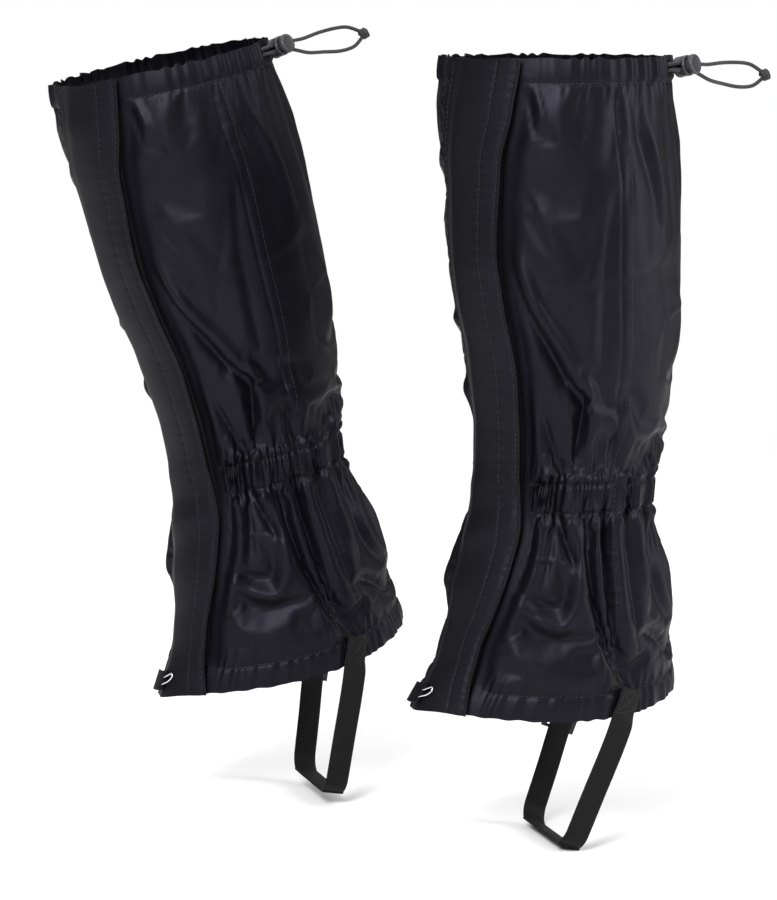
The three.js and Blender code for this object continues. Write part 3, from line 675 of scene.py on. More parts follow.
M_SHELL = fabric_material("coated_fabric", (0.0008, 0.0007, 0.0011), (0.0022, 0.0019, 0.0034), rough=(0.36, 0.54), sheen=0.006, spec=0.16)
M_FLAP = fabric_material("flap_fabric", (0.0010, 0.0009, 0.0012), (0.0024, 0.0022, 0.0030), rough=(0.44, 0.60), sheen=0.006, spec=0.16)
M_THREAD = surface_material("thread", (0.0045, 0.0045, 0.0055), (0.011, 0.011, 0.013), (0.42, 0.6), 2500, 0.02, spec=0.4)
M_LOOP = surface_material("loop_pile", (0.0015, 0.0015, 0.002), (0.007, 0.007, 0.008), (0.85, 0.98), 2600, 0.5, spec=0.15)
M_HOOK = wave_material("hook_tape", (0.0015, 0.0015, 0.0015), (0.012, 0.012, 0.013), (0.45, 0.6), 0.0016, (0.7, 0.7), 0.5)
M_CORD = wave_material("braided_cord", (0.006, 0.006, 0.0065), (0.026, 0.026, 0.029), (0.5, 0.68), 0.0017, (0.8, 0.6), 0.16, 0.05)
M_LOCK = surface_material("moulded_plastic", (0.016, 0.016, 0.019), (0.026, 0.026, 0.030), (0.34, 0.46), 900, 0.03, spec=0.4)
M_BUCKLE = surface_material("black_plastic", (0.004, 0.004, 0.0045), (0.008, 0.008, 0.009), (0.32, 0.45), 900, 0.03)
M_STEEL = surface_material("bright_wire", (0.62, 0.62, 0.65), (0.80, 0.80, 0.83), (0.12, 0.24), 1200, 0.01, 1.0, (1, 1, 0.2))
M_SPRING = surface_material("spring_wire", (0.40, 0.40, 0.42), (0.55, 0.55, 0.57), (0.25, 0.4), 1200, 0.01, 1.0)
M_STRAP = wave_material("strap", (0.0010, 0.0010, 0.0012), (0.0028, 0.0028, 0.0031), (0.55, 0.70), 0.0012, (1.0, 0.5), 0.08, 0.005, 0.15)
M_ELASTIC = wave_material("elastic_rib", (0.0025, 0.0025, 0.003), (0.009, 0.009, 0.010), (0.7, 0.85), 0.0015, (1.0, 0.12), 0.15, 0.04)
M_TAB = wave_material("tab_webbing", (0.0025, 0.0025, 0.003), (0.009, 0.009, 0.010), (0.6, 0.75), 0.0014, (0.7, 0.7), 0.12, 0.03)

# ------------------------------------------------------------------ stitches
def stitches(path, normal, length=2.3, gap=0.9, width=0.42, proud=0.16):
    """Thread stitches along a dense path (mm): small rounded bars, half sunk in the cloth."""
    path, normal = np.asarray(path), np.asarray(normal)
    seg = np.linalg.norm(np.diff(path, axis=0), axis=1)
    s = np.concatenate([[0], np.cumsum(seg)])
    total = s[-1]
    starts = np.arange(0.3, total - length, length + gap)
    V, F = [], []
    prof = [(-1.0, 0.0), (-0.8, 0.8), (-0.35, 1.0), (0.35, 1.0), (0.8, 0.8), (1.0, 0.0)]
    for a in starts:
        at = a + length * (np.array([p[0] for p in prof]) + 1) / 2
        c = np.stack([np.interp(at, s, path[:, k]) for k in range(3)], -1)
        n = np.stack([np.interp(at, s, normal[:, k]) for k in range(3)], -1)
        n /= np.linalg.norm(n, axis=1, keepdims=True)
        t = np.gradient(c, axis=0)
        t /= np.linalg.norm(t, axis=1, keepdims=True)
        b = np.cross(t, n)
        base = len(V)
        for (x, w), cc, nn, bb in zip(prof, c, n, b):
            w = max(w, 0.35)
            lift = proud * w - 0.10
            for k in range(6):
                an = k * math.pi / 3
                V.append(cc + bb * math.cos(an) * width / 2 * w + nn * (math.sin(an) * width / 2 * w + lift))
        for i in range(len(prof) - 1):
            for k in range(6):
                m = (k + 1) % 6
                F.append([base + i * 6 + k, base + i * 6 + m, base + i * 6 + 6 + m, base + i * 6 + 6 + k])
        F.append([base + k for k in range(5, -1, -1)])
        F.append([base + (len(prof) - 1) * 6 + k for k in range(6)])
    return np.array(V), F


def join(parts):
    V, F, base = [], [], 0
    for v, f in parts:
        V.append(np.asarray(v))
        F += [[i + base for i in q] for q in f]
        base += len(v)
    return np.concatenate(V), F


# ------------------------------------------------------------------ the shell, one sheet in place of the three sewn panels
UV_U, UV_V = ARC * MM, -HH * MM
thick = 0.7
for side in SIDES:
    V, F = sheet_mesh(PF, NF, thick)
    uv = np.stack([UV_U, UV_V], -1).reshape(-1, 2)
    ob = new_mesh("fabric_shell", side, V, F, M_SHELL, np.concatenate([uv, uv]))
    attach(ob, "root")
    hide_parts(*[f"{side}_{n}" for n in ("front_panel", "outer_panel", "rear_panel", "top_casing_outer", "top_casing_inner", "bottom_hem")])

# stitch rows on the shell
rows = []
dense = np.linspace(0, 1, 1400)


def row_on_shell(th, h, off=0.05):
    P, N = on_shell(th, h, off)
    return P, N


for h, t0, t1 in ((-15.0, None, 371), (Z_END + 15, None, 358)):
    hs = np.full(1400, h)
    th = np.linspace(free(np.array(h)) + 1.5, t1, 1400)
    rows.append(stitches(*row_on_shell(th, hs)))
for h in BAND:
    hs = np.full(1600, h)
    th = np.linspace(free(np.array(h)) + 3, 344, 1600)
    rows.append(stitches(*row_on_shell(th, hs), length=1.7, gap=0.7))
for seam in (SEAM_TH, 257.0):
    hs = np.linspace(-16, Z_END + 16, 1400)
    rows.append(stitches(*row_on_shell(np.full(1400, seam + 5.6), hs), length=2.4, gap=1.0))
SV, SF = join(rows)
for side in SIDES:
    ob = new_mesh("seam_stitches", side, SV, SF, M_THREAD)
    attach(ob, "root")

# ------------------------------------------------------------------ storm flap
def flap_point(s, h):
    """s 0 at the sewn edge, 1 at the free edge."""
    l, f = sewn(h) - 3.4, free(h)
    th = l + s * (f - l)
    rise = sstep(s, 0.08, 0.38)
    edge_wave = 0.55 * np.sin(h / 21 + 0.6) + 0.35 * np.sin(h / 8.7 + 2.0)
    off = 1.35 + 3.95 * rise + edge_wave * sstep(s, 0.5, 1.0)
    return th, off


NS, NH = 76, 420
ss = np.linspace(0, 1, NS)
fh = np.linspace(-0.3, Z_END + 0.3, NH)
FH, FS = np.meshgrid(fh, ss, indexing="ij")
FTH, FOFF = flap_point(FS, FH)
arc_w = (free(FH) - sewn(FH) + 3.4) * ring(FH)[1] * math.pi / 180          # local width of the flap, mm
XE = (1 - FS) * arc_w                                               # distance from the free edge
XS = FS * arc_w
d = np.zeros_like(FH)
for line_at, X in ((2.6, XE), (14.5, XE), (2.2, XS)):
    d -= 0.38 * bump(X, line_at, 0.75)
d += 0.30 * (XE < 2.6) + 0.22 * bump(XE, 5.5, 2.2)
d += 0.25 * np.sin(np.clip((XE - 3) / 11, 0, 1) * math.pi)
# soft folds across the flap where the leg bends, and small ripples by the stitches
d += 1.0 * bump(FH, -300 + 14 * FS, 7) * np.sin(FS * math.pi) - 0.55 * bump(FH, -283 + 10 * FS, 6) * sstep(FS, 0.1, 0.7)
d += 0.8 * bump(FH, -266 + 8 * FS, 7) - 0.8 * bump(FH, -318 + 16 * FS, 8) * (1 - 0.5 * FS)
d += 0.7 * bump(FH, -150, 16) * (1 - FS) - 0.6 * bump(FH, -178, 12) * (1 - FS)
d += 0.16 * np.sin(FH * 2 * math.pi / 6.8 + 3 * noise1(NH, 7, 46)[:, None]) * (bump(XE, 14.5, 4) + bump(XE, 3, 3))
d += 0.35 * noise1(NH, 17, 18)[:, None] * np.sin(FS * math.pi) + 0.25 * noise1(NH, 19, 30)[:, None] * sstep(FS, 0.4, 1)
d *= sstep(-FH, -2, 4) * 0.9 + 0.1
FP = tube(FTH, FH, FOFF + d)
# top edge hem
FP[..., 2] += 0.6 * np.clip(1 + FH / 10, 0, 1) * np.sin(FS * 9)
FN = grid_normals(FP)
if (FN * (FP * np.array([1, 1, 0]))).sum() < 0:
    FN = -FN
FLAP_T = 0.9
fuv = np.stack([(FTH * 62 * math.pi / 180) * MM, -FH * MM], -1)

FOLD_TOP, FOLD_LOW = -232.0, -300.0
sew0, fr1 = float(sewn(np.array(0.0))), float(free(np.array(FOLD_TOP)))
fr2, sewZ = float(free(np.array(FOLD_LOW))), float(sewn(np.array(Z_END)))


def fold_top(h):
    return (sew0 + 7) + (fr1 - 2 - sew0 - 7) * h / FOLD_TOP


def fold_low(h):
    return (fr2 - 2) + (sewZ + 9 - fr2 + 2) * (h - FOLD_LOW) / (Z_END - FOLD_LOW)


def corner_weight(th, h, which):
    R = 66 * math.pi / 180
    if which == "upper":
        x = (th - fold_top(h)) * R
        w = sstep(x, -2.5, 5.0) * sstep(h, FOLD_TOP - 2, FOLD_TOP + 26)
    else:
        x = (th - fold_low(h)) * R
        w = sstep(x, -2.5, 5.0) * sstep(-h, -FOLD_LOW - 2, -FOLD_LOW + 20)
    return w


cut = int(np.argmin(np.abs(fh + 266)))
for side in SIDES:
    for part, sl, edges in (("upper", slice(0, cut + 1), True), ("lower", slice(cut, NH), True)):
        P, N = FP[sl], FN[sl]
        V, F = sheet_mesh(P, N, FLAP_T, edges)
        w = corner_weight(FTH[sl], FH[sl], part).ravel()
        uv = fuv[sl].reshape(-1, 2)
        ob = new_mesh("storm_flap_" + part, side, V, F, M_FLAP, np.concatenate([uv, uv]))
        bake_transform(ob)
        nn = np.concatenate([N.reshape(-1, 3), -N.reshape(-1, 3)]) @ np.array(SIDES[side])[:3, :3].T
        names = [f"{side}_storm_flap_{part}_corner"] + ([f"{side}_storm_flap"] if part == "upper" else [])
        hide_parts(*names)

# flap stitches: one piece for each half of the flap
def flap_rows(sl):
    out = []
    for line_at, from_free in ((2.6, True), (14.5, True), (2.2, False)):
        X = XE[sl] if from_free else XS[sl]
        P, N = [], []
        for i in range(X.shape[0]):
            x = X[i][::-1] if from_free else X[i]
            p, n = (FP[sl][i][::-1], FN[sl][i][::-1]) if from_free else (FP[sl][i], FN[sl][i])
            P.append([np.interp(line_at, x, p[:, k]) for k in range(3)])
            N.append([np.interp(line_at, x, n[:, k]) for k in range(3)])
        out.append(stitches(np.array(P) + np.array(N) * 0.05, np.array(N), length=2.4, gap=1.0))
    return join(out)


for part, sl in (("upper", slice(2, cut - 2)), ("lower", slice(cut + 3, NH - 2))):
    V, F = flap_rows(sl)
    th = np.degrees(np.arctan2(-V[:, 1] / ring(V[:, 2])[2], -(V[:, 0] - ring(V[:, 2])[0]) / ring(V[:, 2])[1]))
    k = np.clip((Z_WAIST - V[:, 2]) / (Z_WAIST - Z_END), 0, 1) ** 1.5
    hgt = V[:, 2] - k * (bottom(th) - Z_END)
    w = corner_weight(th, hgt, part)
    for side in SIDES:
        ob = new_mesh("flap_stitches_" + part, side, V, F, M_THREAD)
        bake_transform(ob)

# ------------------------------------------------------------------ hook and loop tapes
def tape_grid(h_from, h_to, base):
    n = max(12, int(abs(h_to - h_from) / 1.5))
    hs, xs = np.linspace(h_from, h_to, n), np.linspace(0, 1, 16)
    H, X = np.meshgrid(hs, xs, indexing="ij")
    wdeg = 17 / ring(H)[1] * 180 / math.pi
    th = free(H) - 1.5 - wdeg * (1 - X)
    return H, X, th


for side in SIDES:
    H, X, th = tape_grid(-18, -391, 0)
    P, N = on_shell(th, H, 1.1)
    V, F = sheet_mesh(P, N, 1.0)
    uv = np.stack([X * 0.017, -H * MM], -1).reshape(-1, 2)
    ob = new_mesh("loop_tape_pile", side, V, F, M_LOOP, np.concatenate([uv, uv]))
    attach(ob, "root"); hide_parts(f"{side}_loop_tape")
    for nm, a, b in (("upper", -17, -110), ("middle", -236, -296), ("lower", -366, -391)):
        H, X, th = tape_grid(a, b, 0)
        s = (th - sewn(H) + 3.4) / (free(H) - sewn(H) + 3.4)
        _, off = flap_point(s, H)
        P = tube(th, H, off - FLAP_T - 0.15)
        N = grid_normals(P)
        if (N * (P * np.array([1, 1, 0]))).sum() < 0:
            N = -N
        V, F = sheet_mesh(P, N, 0.9)
        uv = np.stack([X * 0.017, -H * MM], -1).reshape(-1, 2)
        ob = new_mesh(f"hook_tape_{nm}_strip", side, V, F, M_HOOK, np.concatenate([uv, uv]))
        if nm == "middle":
            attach(ob, "root")
        else:                                            # the end strips are baked in place, as the flap halves are
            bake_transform(ob)
            w = corner_weight(th, H, nm).ravel()
        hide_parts(f"{side}_hook_tape_{nm}")

# ------------------------------------------------------------------ elastics inside
for side in SIDES:
    for nm, h1, h2, t0, t1, node in (("ankle_elastic_band", -262.5, -279.5, 56, 346, "ankle_elastic"), ("hem_elastic_band", Z_END + 12.5, Z_END + 3, 8, 352, "bottom_hem_elastic")):
        hs, ts = np.linspace(h1, h2, 10), np.linspace(t0, t1, 420)
        H, T = np.meshgrid(hs, ts, indexing="ij")
        P, N = on_shell(T, H, -(thick + 0.35))
        V, F = sheet_mesh(P, N, 0.8)
        uv = np.stack([T * 62 * math.pi / 180 * MM, -H * MM], -1).reshape(-1, 2)
        ob = new_mesh(nm, side, V, F, M_ELASTIC, np.concatenate([uv, uv]))
        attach(ob, "root"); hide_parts(f"{side}_{node}")

# ------------------------------------------------------------------ tubes, lathes
def tube_mesh(pts, radius, sides=14, closed_ends=True):
    P = np.asarray(pts, float)
    T = np.gradient(P, axis=0)
    T /= np.linalg.norm(T, axis=1, keepdims=True)
    ref = np.array([0.0, 0.0, 1.0]) if abs(T[0, 2]) < 0.9 else np.array([1.0, 0, 0])
    n = np.cross(T[0], ref); n /= np.linalg.norm(n)
    V, uv = [], []
    s = np.concatenate([[0], np.cumsum(np.linalg.norm(np.diff(P, axis=0), axis=1))])
    r = np.broadcast_to(np.asarray(radius, float), (len(P),))
    for i in range(len(P)):
        n = n - (n @ T[i]) * T[i]
        n /= np.linalg.norm(n)
        b = np.cross(T[i], n)
        for k in range(sides):
            a = 2 * math.pi * k / sides
            V.append(P[i] + r[i] * (math.cos(a) * n + math.sin(a) * b))
            uv.append((k / sides * 2 * math.pi * max(r.max(), 0.1) * MM, s[i] * MM))
    F = []
    for i in range(len(P) - 1):
        for k in range(sides):
            m = (k + 1) % sides
            F.append([i * sides + k, i * sides + m, i * sides + sides + m, i * sides + sides + k])
    if closed_ends:
        F.append([k for k in range(sides - 1, -1, -1)])
        F.append([(len(P) - 1) * sides + k for k in range(sides)])
    return np.array(V), F, np.array(uv)


def lathe_mesh(profile, seg=48):
    """profile of (radius, distance along +Z); closed on the axis at both ends."""
    V, F = [], []
    prof = [p for p in profile]
    idx = []
    for r, z in prof:
        if r < 1e-6:
            idx.append([len(V)]); V.append((0, 0, z))
        else:
            idx.append(list(range(len(V), len(V) + seg)))
            V += [(r * math.cos(2 * math.pi * k / seg), r * math.sin(2 * math.pi * k / seg), z) for k in range(seg)]
    for a, b in zip(idx[:-1], idx[1:]):
        for k in range(seg):
            m = (k + 1) % seg
            if len(a) == 1 and len(b) == 1:
                continue
            if len(a) == 1:
                F.append([a[0], b[m], b[k]])
            elif len(b) == 1:
                F.append([a[k], a[m], b[0]])
            else:
                F.append([a[k], a[m], b[m], b[k]])
    return np.array(V, float), F


def orient(V, F):
    """Faces of a closed mesh point out."""
    vol = 0
    for f in F:
        for i in range(1, len(f) - 1):
            vol += np.dot(V[f[0]], np.cross(V[f[i]], V[f[i + 1]]))
    return [f[::-1] for f in F] if vol < 0 else F


LOCK_AT = np.array([72.4, -33.9, -6.0])
LOCK_AXIS = np.array([0.617, -0.763, 0.195]); LOCK_AXIS /= np.linalg.norm(LOCK_AXIS)
CORD_DIR = np.array([0.778, 0.629, 0.0]); CORD_DIR /= np.linalg.norm(CORD_DIR)
LOCK_UP = np.cross(CORD_DIR, LOCK_AXIS); LOCK_UP /= -np.linalg.norm(LOCK_UP)
if LOCK_UP[2] < 0:
    LOCK_UP = -LOCK_UP
SPLIT = 2.0


def along(d, up):
    return LOCK_AT + CORD_DIR * d + LOCK_UP * up


def place_lock(V):
    """x along the cord, y across the strands, z along the plunger"""
    B = np.stack([CORD_DIR, np.cross(LOCK_AXIS, CORD_DIR), LOCK_AXIS], 1)
    return V @ B.T + LOCK_AT


R = 6.5
barrel_prof = [(0, -5.2), (4.4, -5.2), (5.3, -5.05), (6.0, -4.7), (6.35, -4.2), (6.5, -3.5), (6.5, -2.9), (6.35, -2.7), (6.35, 1.9), (6.5, 2.1), (6.5, 3.2), (6.35, 3.7), (6.0, 3.95),
               (5.0, 4.0), (4.55, 3.9), (4.5, 3.5), (4.5, -3.9), (0, -3.9)]
plunger_prof = [(0, -2.1), (3.9, -2.1), (4.1, -1.9), (4.1, 5.7), (5.4, 5.75), (6.0, 5.95), (6.2, 6.4), (6.25, 7.2), (6.2, 8.2), (5.95, 8.75), (5.5, 9.05), (4.8, 9.16), (4.3, 9.02), (2.0, 8.98), (0, 8.98)]


def cut_slot(ob, w, hgt, centre):
    me = bpy.data.meshes.new("slot")
    h = []
    import bmesh
    bm = bmesh.new()
    bmesh.ops.create_cube(bm, size=1)
    for v in bm.verts:
        v.co = Vector((v.co.x * 30 * MM, v.co.y * hgt * MM, (v.co.z * w + centre) * MM))
    bmesh.ops.bevel(bm, geom=[e for e in bm.edges if abs(e.verts[0].co.x - e.verts[1].co.x) > 1e-4], offset=min(w, hgt) * 0.45 * MM, segments=5, affect="EDGES")
    bm.to_mesh(me); bm.free()
    c = bpy.data.objects.new("slot", me)
    bpy.context.scene.collection.objects.link(c)
    m = ob.modifiers.new("slot", "BOOLEAN")
    m.object, m.operation, m.solver = c, "DIFFERENCE", "EXACT"
    dg = bpy.context.evaluated_depsgraph_get()
    new = bpy.data.meshes.new_from_object(ob.evaluated_get(dg))
    ob.modifiers.clear()
    ob.data = new
    bpy.data.objects.remove(c)


def lock_piece(name, profile, slot_w, slot_c, slot_h, side, body, node, grips=False):
    V, F = lathe_mesh(profile, 64)
    if grips:                                        # fine ribs round the barrel
        r = np.hypot(V[:, 0], V[:, 1]); an = np.arctan2(V[:, 1], V[:, 0])
        m = (V[:, 2] > -2.75) & (V[:, 2] < 1.95) & (r > 6.2)
        V[m, :2] *= (1 + 0.012 * np.sign(np.sin(an[m] * 16)))[:, None]
    F = orient(V, F)
    me = bpy.data.meshes.new(name)
    me.from_pydata((V * MM).tolist(), [], F)
    ob = bpy.data.objects.new(f"{side}_{name}", me)
    bpy.context.scene.collection.objects.link(ob)
    cut_slot(ob, slot_w, slot_h, slot_c)
    me = ob.data
    co = np.empty(len(me.vertices) * 3); me.vertices.foreach_get("co", co)
    co = move_points(side, place_lock(co.reshape(-1, 3) / MM) * MM)
    me.vertices.foreach_set("co", co.ravel())
    me.polygons.foreach_set("use_smooth", np.ones(len(me.polygons), bool))
    me.materials.clear(); me.materials.append(M_LOCK)
    try:
        me.set_sharp_from_angle(angle=math.radians(38))
    except Exception:
        pass
    me.update()
    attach(ob, body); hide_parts(node)
    return ob


KNOT_AT = np.array([138.2, 0.5, -12.6])
upper_pts = [along(-8, SPLIT), along(-3, SPLIT), along(3, SPLIT), along(9, SPLIT - 0.2), along(18, SPLIT - 0.9), along(28, SPLIT - 1.4),
             (107, -7.5, -4.6), (119, -3.4, -4.6), (127.5, -1.2, -5.8), (134.2, 0.0, -9.4)]
lower_pts = [along(-9, -SPLIT), along(-4, -SPLIT), along(3, -SPLIT), along(9, -SPLIT - 0.8), along(18, -SPLIT - 4.0), along(28, -SPLIT - 7.4),
             (107, -7.5, -17.6), (119, -3.4, -19.8), (129, -0.9, -19.4), (135.2, 0.2, -15.8)]
upper_in = [tube(136, -6, -2.0), tube(141, -6, -2.0), tube(146.5, -5.6, -1.2), (61.6, -37.9, -4.6)]
lower_in = [tube(167, -9, -2.0), tube(161, -9, -2.0), tube(154, -9, -1.8), (58.6, -35.4, -8.7), (61.2, -38.3, -8.3)]
CORD_R = 1.2
for side in SIDES:
    knot_parts = []
    # the knot: an overhand knot drawn tight, three turns of cord round a core
    t = np.linspace(0, 2 * math.pi * 2.75, 120)
    kn = np.stack([(t / t[-1] - 0.5) * 4.0, 2.3 * np.cos(t) * (1 - 0.15 * np.cos(t / 2.75)), 2.6 * np.sin(t)], -1)
    ax = np.array([0.95, 0.1, 0.3]); ax /= np.linalg.norm(ax)
    ay = np.cross([0, 0, 1.0], ax); ay /= np.linalg.norm(ay)
    az = np.cross(ax, ay)
    kp = KNOT_AT + kn @ np.stack([ax, ay, az])
    V1, F1, uv1 = tube_mesh(kp, 1.15, 12)
    core = np.array([KNOT_AT - ax * 2.9, KNOT_AT, KNOT_AT + ax * 2.9])
    core = catmull(core, 6)
    V2, F2, uv2 = tube_mesh(core, 1.5 * np.sin(np.linspace(0.35, math.pi - 0.35, len(core))) + 0.2, 12)
    tail = catmull([KNOT_AT + ax * 0.6, KNOT_AT + ax * 2.0 + az * 0.6, KNOT_AT + ax * 3.0 + az * 1.6], 6)
    V3, F3, uv3 = tube_mesh(tail, 1.05, 12)
    V, F = join([(V1, F1), (V2, F2), (V3, F3)])
    knot = new_mesh("cord_knot_tied", side, V, F, M_CORD, np.concatenate([uv1, uv2, uv3]))
    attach(knot, "root"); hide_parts(f"{side}_cord_knot")
    barrel = lock_piece("cord_lock_body", barrel_prof, 3.9, 0.0, 8.0, side, f"{side}_cord_lock", f"{side}_cord_lock_barrel")
    plunger = lock_piece("cord_lock_button", plunger_prof, 4.6, 0.8, 7.0, side, f"{side}_lock_plunger", f"{side}_cord_lock_plunger")
    for nm, inner, pts, node in (("drawcord_strand_upper", upper_in, upper_pts, "drawcord_upper"), ("drawcord_strand_lower", lower_in, lower_pts, "drawcord_lower")):
        full = catmull([np.asarray(p, float) for p in inner + pts] + [KNOT_AT], 10)
        V, F, uv = tube_mesh(full, CORD_R, 16)
        ob = new_mesh(nm, side, V, F, M_CORD, uv)
        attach(ob, "root")
        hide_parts(f"{side}_{node}")
        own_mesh(ob)
    t = np.linspace(0, 2 * math.pi * 3.0, 110)
    coil = place_lock(np.stack([2.9 * np.cos(t), 2.9 * np.sin(t), -3.62 + 1.25 * t / t[-1]], -1))
    V, F, uv = tube_mesh(coil, 0.17, 8)
    spring = new_mesh("cord_lock_coil", side, V, F, M_SPRING, uv)
    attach(spring, f"{side}_cord_lock"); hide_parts(f"{side}_cord_lock_spring")
    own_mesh(spring)

# ------------------------------------------------------------------ instep strap
TILT = math.radians(20.5)
ANCHOR = np.array([29.0, 53.2, -413.0])
STRAP_DROP, STRAP_R, STRAP_W, STRAP_T = 84.0, 13.0, 15.0, 1.6


def strap_frame(V):
    c, s = math.cos(TILT), math.sin(TILT)
    V = np.asarray(V, float)
    return np.stack([V[:, 0] * c + V[:, 2] * s + ANCHOR[0], V[:, 1], -V[:, 0] * s + V[:, 2] * c + ANCHOR[2]], -1)


def band(path, frames, half_w, t, n_w=14, rib=0.10):
    """A flat strap with rounded edges along a centre line: path (n,3), frames = (side vector, normal) each (n,3)."""
    S, N = frames
    ring_pts = []
    k = 20
    for i in range(k):                                            # rounded rectangle section
        a = 2 * math.pi * i / k
        ex = abs(math.cos(a)) ** 0.22 * np.sign(math.cos(a))
        ey = abs(math.sin(a)) ** 0.75 * np.sign(math.sin(a))
        ring_pts.append((ex * half_w, ey * t / 2))
    V, uv = [], []
    s = np.concatenate([[0], np.cumsum(np.linalg.norm(np.diff(path, axis=0), axis=1))])
    for i in range(len(path)):
        for x, y in ring_pts:
            V.append(path[i] + S[i] * x + N[i] * y)
            uv.append((x * MM, s[i] * MM))
    F = []
    for i in range(len(path) - 1):
        for j in range(k):
            m = (j + 1) % k
            F.append([i * k + j, i * k + m, (i + 1) * k + m, (i + 1) * k + j])
    F.append([j for j in range(k - 1, -1, -1)])
    F.append([(len(path) - 1) * k + j for j in range(k)])
    V = np.array(V)
    return V, orient(V - V.mean(0), F), np.array(uv)


y0, yb = ANCHOR[1] - 2, 45.0
loc = [(-y0 - 0.3, -2.2), (-y0 + 0.3, -20), (-yb - 2.4, -48)]
for i in range(6):
    a = math.pi + math.pi / 2 * i / 5
    loc.append((-yb + STRAP_R + STRAP_R * math.cos(a), -STRAP_DROP + STRAP_R + STRAP_R * math.sin(a)))
for i in range(6):
    a = 1.5 * math.pi + math.pi / 2 * i / 5
    loc.append((yb - STRAP_R + STRAP_R * math.cos(a), -STRAP_DROP + STRAP_R + STRAP_R * math.sin(a)))
loc += [(yb + 2.4, -48), (y0 - 0.4, -26), (y0 - 0.2, -14.5)]
low = strap_frame(np.array([(0.0, a, b) for a, b in loc]))
lean = lambda h: 119 + (115 - 119) * (h + 391.5) / -14.5
high = np.array([tube(lean(h), h, 2.2) for h in (-391.5, -394.5, -398.5, -402.5, -406.0)])
cl3 = catmull(np.concatenate([high, low]), 8)
n_tab = int(np.argmin(np.abs(cl3[:, 2] + 413)))
SX = np.tile(strap_frame(np.array([[1.0, 0, 0]]))[0] - strap_frame(np.array([[0.0, 0, 0]]))[0], (len(cl3), 1))
flat_x = tube(117 + 4, -399.0, 2.2) - tube(117 - 4, -399.0, 2.2)
down = high[-1] - high[0]
flat_x = flat_x - down * (flat_x @ down) / (down @ down)
flat_x /= np.linalg.norm(flat_x)
tt = np.clip((cl3[:, 2] + 413) / 9.0, 0, 1)[:, None] * (np.arange(len(cl3)) < n_tab + 40)[:, None]
SX = SX * (1 - tt) + flat_x * tt
SX /= np.linalg.norm(SX, axis=1, keepdims=True)
TT = np.gradient(cl3, axis=0); TT /= np.linalg.norm(TT, axis=1, keepdims=True)
SN = np.cross(TT, SX); SN /= np.linalg.norm(SN, axis=1, keepdims=True)
strapV, strapF, strapUV = band(cl3, (SX, SN), STRAP_W / 2, STRAP_T)


def tab_grid(inner, h0_, h1_, off, n=24):
    hs, ts = np.linspace(h0_, h1_, n), np.linspace(-5.3, 5.3, n)
    H, T = np.meshgrid(hs, ts, indexing="ij")
    T = T + (360 - lean(H) if inner else lean(H))
    P = tube(T, H, off + 0.0 * H)
    N = grid_normals(P)
    if (N[..., 1] * P[..., 1]).sum() < 0:
        N = -N
    return P, N, H, T


up_in = np.array([tube(360 - lean(h), h, 1.9) for h in (-391.5, -395.5, -400.5, -406.0)])
loop_pts = strap_frame(np.array([(0, 51.9, -1.5), (0, 52.1, -6.5), (0, 52.9, -9.9), (0, 54.7, -11.0), (0, 56.6, -9.9), (0, 57.3, -6.5), (0, 56.9, -1.5)]))
up_out = np.array([tube(360 - lean(h), h, 3.6) for h in (-406.0, -400.5, -395.5, -391.5)])
inner3 = catmull(np.concatenate([up_in, loop_pts, up_out]), 8)
IX = np.tile(SX[len(SX) // 2], (len(inner3), 1))
fx = tube(360 - 117 - 4, -399.0, 2.2) - tube(360 - 117 + 4, -399.0, 2.2)
dn = up_in[-1] - up_in[0]
fx = fx - dn * (fx @ dn) / (dn @ dn)
fx /= np.linalg.norm(fx)
if fx @ IX[0] < 0:
    fx = -fx
ti = np.clip((inner3[:, 2] + 413) / 9.0, 0, 1)[:, None]
IX = IX * (1 - ti) + fx * ti
IX /= np.linalg.norm(IX, axis=1, keepdims=True)
IT = np.gradient(inner3, axis=0); IT /= np.linalg.norm(IT, axis=1, keepdims=True)
IN = np.cross(IT, IX); IN /= np.linalg.norm(IN, axis=1, keepdims=True)
innerV, innerF, innerUV = band(inner3, (IX, IN), 7.4, 1.2)

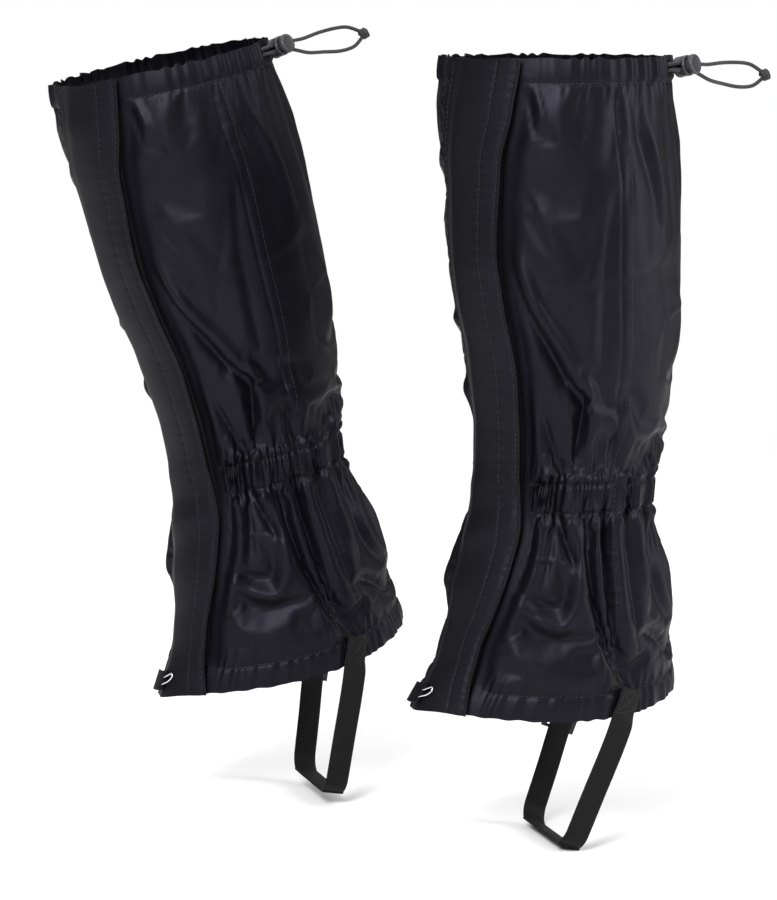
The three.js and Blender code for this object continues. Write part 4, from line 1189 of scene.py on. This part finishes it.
for side in SIDES:
    # the outer end: sewn flat on the hem, then the strap turns down; one piece bends at the hem
    P, N, H, T = tab_grid(False, -391.5, -406, 2.2 + STRAP_T / 2)
    uv = np.stack([T * 1.0 * MM, H * MM], -1).reshape(-1, 2)
    P2, N2, H2, T2 = tab_grid(True, -391.5, -406, 4.9)
    tab2 = new_mesh("inner_strap_webbing", side, innerV, innerF, M_STRAP, innerUV)
    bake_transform(tab2)
    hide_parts(f"{side}_inner_strap_tab")
    strap = new_mesh("instep_strap_band", side, strapV, strapF, M_STRAP, strapUV)
    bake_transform(strap)
    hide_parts(f"{side}_instep_strap", f"{side}_outer_strap_tab")
    # tab stitches: a box on each sewn end
    parts = []
    for G, GN in ((P, N), (P2, N2)):
        i0, i1, j0, j1 = 2, 21, 2, 21
        loop = [G[i0, j] for j in range(j0, j1)] + [G[i, j1] for i in range(i0, i1)] + [G[i1, j] for j in range(j1, j0, -1)] + [G[i, j0] for i in range(i1, i0, -1)]
        nl = [GN[i0, j] for j in range(j0, j1)] + [GN[i, j1] for i in range(i0, i1)] + [GN[i1, j] for j in range(j1, j0, -1)] + [GN[i, j0] for i in range(i1, i0, -1)]
        parts.append(stitches(np.array(loop), np.array(nl), length=1.5, gap=0.6, width=0.4))
        parts.append(stitches(np.array([G[i0 + k, j0 + k] for k in range(19)]), np.array([GN[i0 + k, j0 + k] for k in range(19)]), length=1.5, gap=0.6, width=0.4))
        parts.append(stitches(np.array([G[i0 + k, j1 - k] for k in range(19)]), np.array([GN[i0 + k, j1 - k] for k in range(19)]), length=1.5, gap=0.6, width=0.4))
    V, F = join(parts)
    st = new_mesh("strap_end_stitches", side, V, F, M_THREAD)
    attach(st, "root")

# ------------------------------------------------------------------ lace hook
def hook_pt(t, h, o):
    p = tube(t, h, 5.6 + o)
    return p


hook_line = catmull([hook_pt(9.5, -400.5, 0.95), hook_pt(14, -398.8, 1.0), hook_pt(18.5, -397.0, 1.0), hook_pt(20.4, -394.4, 1.0), hook_pt(18.6, -392.6, 1.0), hook_pt(14, -394.4, 1.0), hook_pt(9.5, -396.2, 0.95)], 10)
for side in SIDES:
    V, F, uv = tube_mesh(hook_line, 0.6, 14)
    ob = new_mesh("lace_hook_wire", side, V, F, M_STEEL, uv)
    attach(ob, "root"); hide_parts(f"{side}_lace_hook")
    hs, ts = np.linspace(-390.5, -402.5, 16), np.linspace(1.2, 14.6, 18)
    H, T = np.meshgrid(hs, ts, indexing="ij")
    P = tube(T, H, 7.4 - 0.5 * np.abs(np.linspace(-1, 1, 18))[None, :] ** 3)
    N = grid_normals(P)
    if (N * (P * np.array([1, 1, 0]))).sum() < 0:
        N = -N
    V, F = sheet_mesh(P, N, 1.3)
    uv = np.stack([T * 1.4 * MM, -H * MM], -1).reshape(-1, 2)
    ob = new_mesh("hook_tab_webbing", side, V, F, M_FLAP, np.concatenate([uv, uv]))
    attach(ob, "root"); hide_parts(f"{side}_hook_tab")

# ------------------------------------------------------------------ the buckle keeps its CAD shape
for side in SIDES:
    for node, mat in (("strap_buckle", M_BUCKLE),):
        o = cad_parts[f"{side}_{node}"]
        o.data.materials.clear()
        o.data.materials.append(mat)

# ------------------------------------------------------------------ floor and light
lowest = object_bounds()[0][2]
me = bpy.data.meshes.new("floor")
ring_n = 96
me.from_pydata([(0, 0, lowest - 0.0002)] + [(2.0 * math.cos(2 * math.pi * k / ring_n), 2.0 * math.sin(2 * math.pi * k / ring_n), lowest - 0.0002) for k in range(ring_n)],
               [], [[0, k + 1, (k + 1) % ring_n + 1] for k in range(ring_n)])
floor = bpy.data.objects.new("floor", me)
bpy.context.scene.collection.objects.link(floor)
m = bpy.data.materials.new("floor")
nt, sh = nodes_of(m)
sh.inputs["Base Color"].default_value = (0.82, 0.82, 0.82, 1)
sh.inputs["Roughness"].default_value = 0.9
me.materials.append(m)

world = bpy.data.worlds.new("world")
bpy.context.scene.world = world
world.use_nodes = True
wn = world.node_tree
bg = wn.nodes["Background"]
bg.inputs[0].default_value = (1, 1, 1, 1)
lp = wn.nodes.new("ShaderNodeLightPath")
mx = wn.nodes.new("ShaderNodeMath")
mx.operation = "MULTIPLY_ADD"
mx.inputs[1].default_value = 0.81
mx.inputs[2].default_value = 0.19
wn.links.new(lp.outputs["Is Camera Ray"], mx.inputs[0])
wn.links.new(mx.outputs[0], bg.inputs[1])


def area_light(name, at, look, size, power):
    d = bpy.data.lights.new(name, "AREA")
    d.shape, d.size, d.size_y, d.energy = "RECTANGLE", size[0], size[1], power
    o = bpy.data.objects.new(name, d)
    o.location = at
    o.rotation_euler = (Vector(look) - Vector(at)).to_track_quat("-Z", "Y").to_euler()
    bpy.context.scene.collection.objects.link(o)


area_light("key", (-1.15, -1.75, 1.1), (-0.1, 0, -0.12), (0.8, 0.9), 84)
area_light("fill", (1.9, -0.8, 0.4), (0, 0, -0.25), (0.5, 1.6), 32)
area_light("top", (0.0, 0.3, 3.2), (0.0, 0.3, -0.5), (8.0, 8.0), 330)
bpy.context.scene.view_settings.view_transform = "Standard"
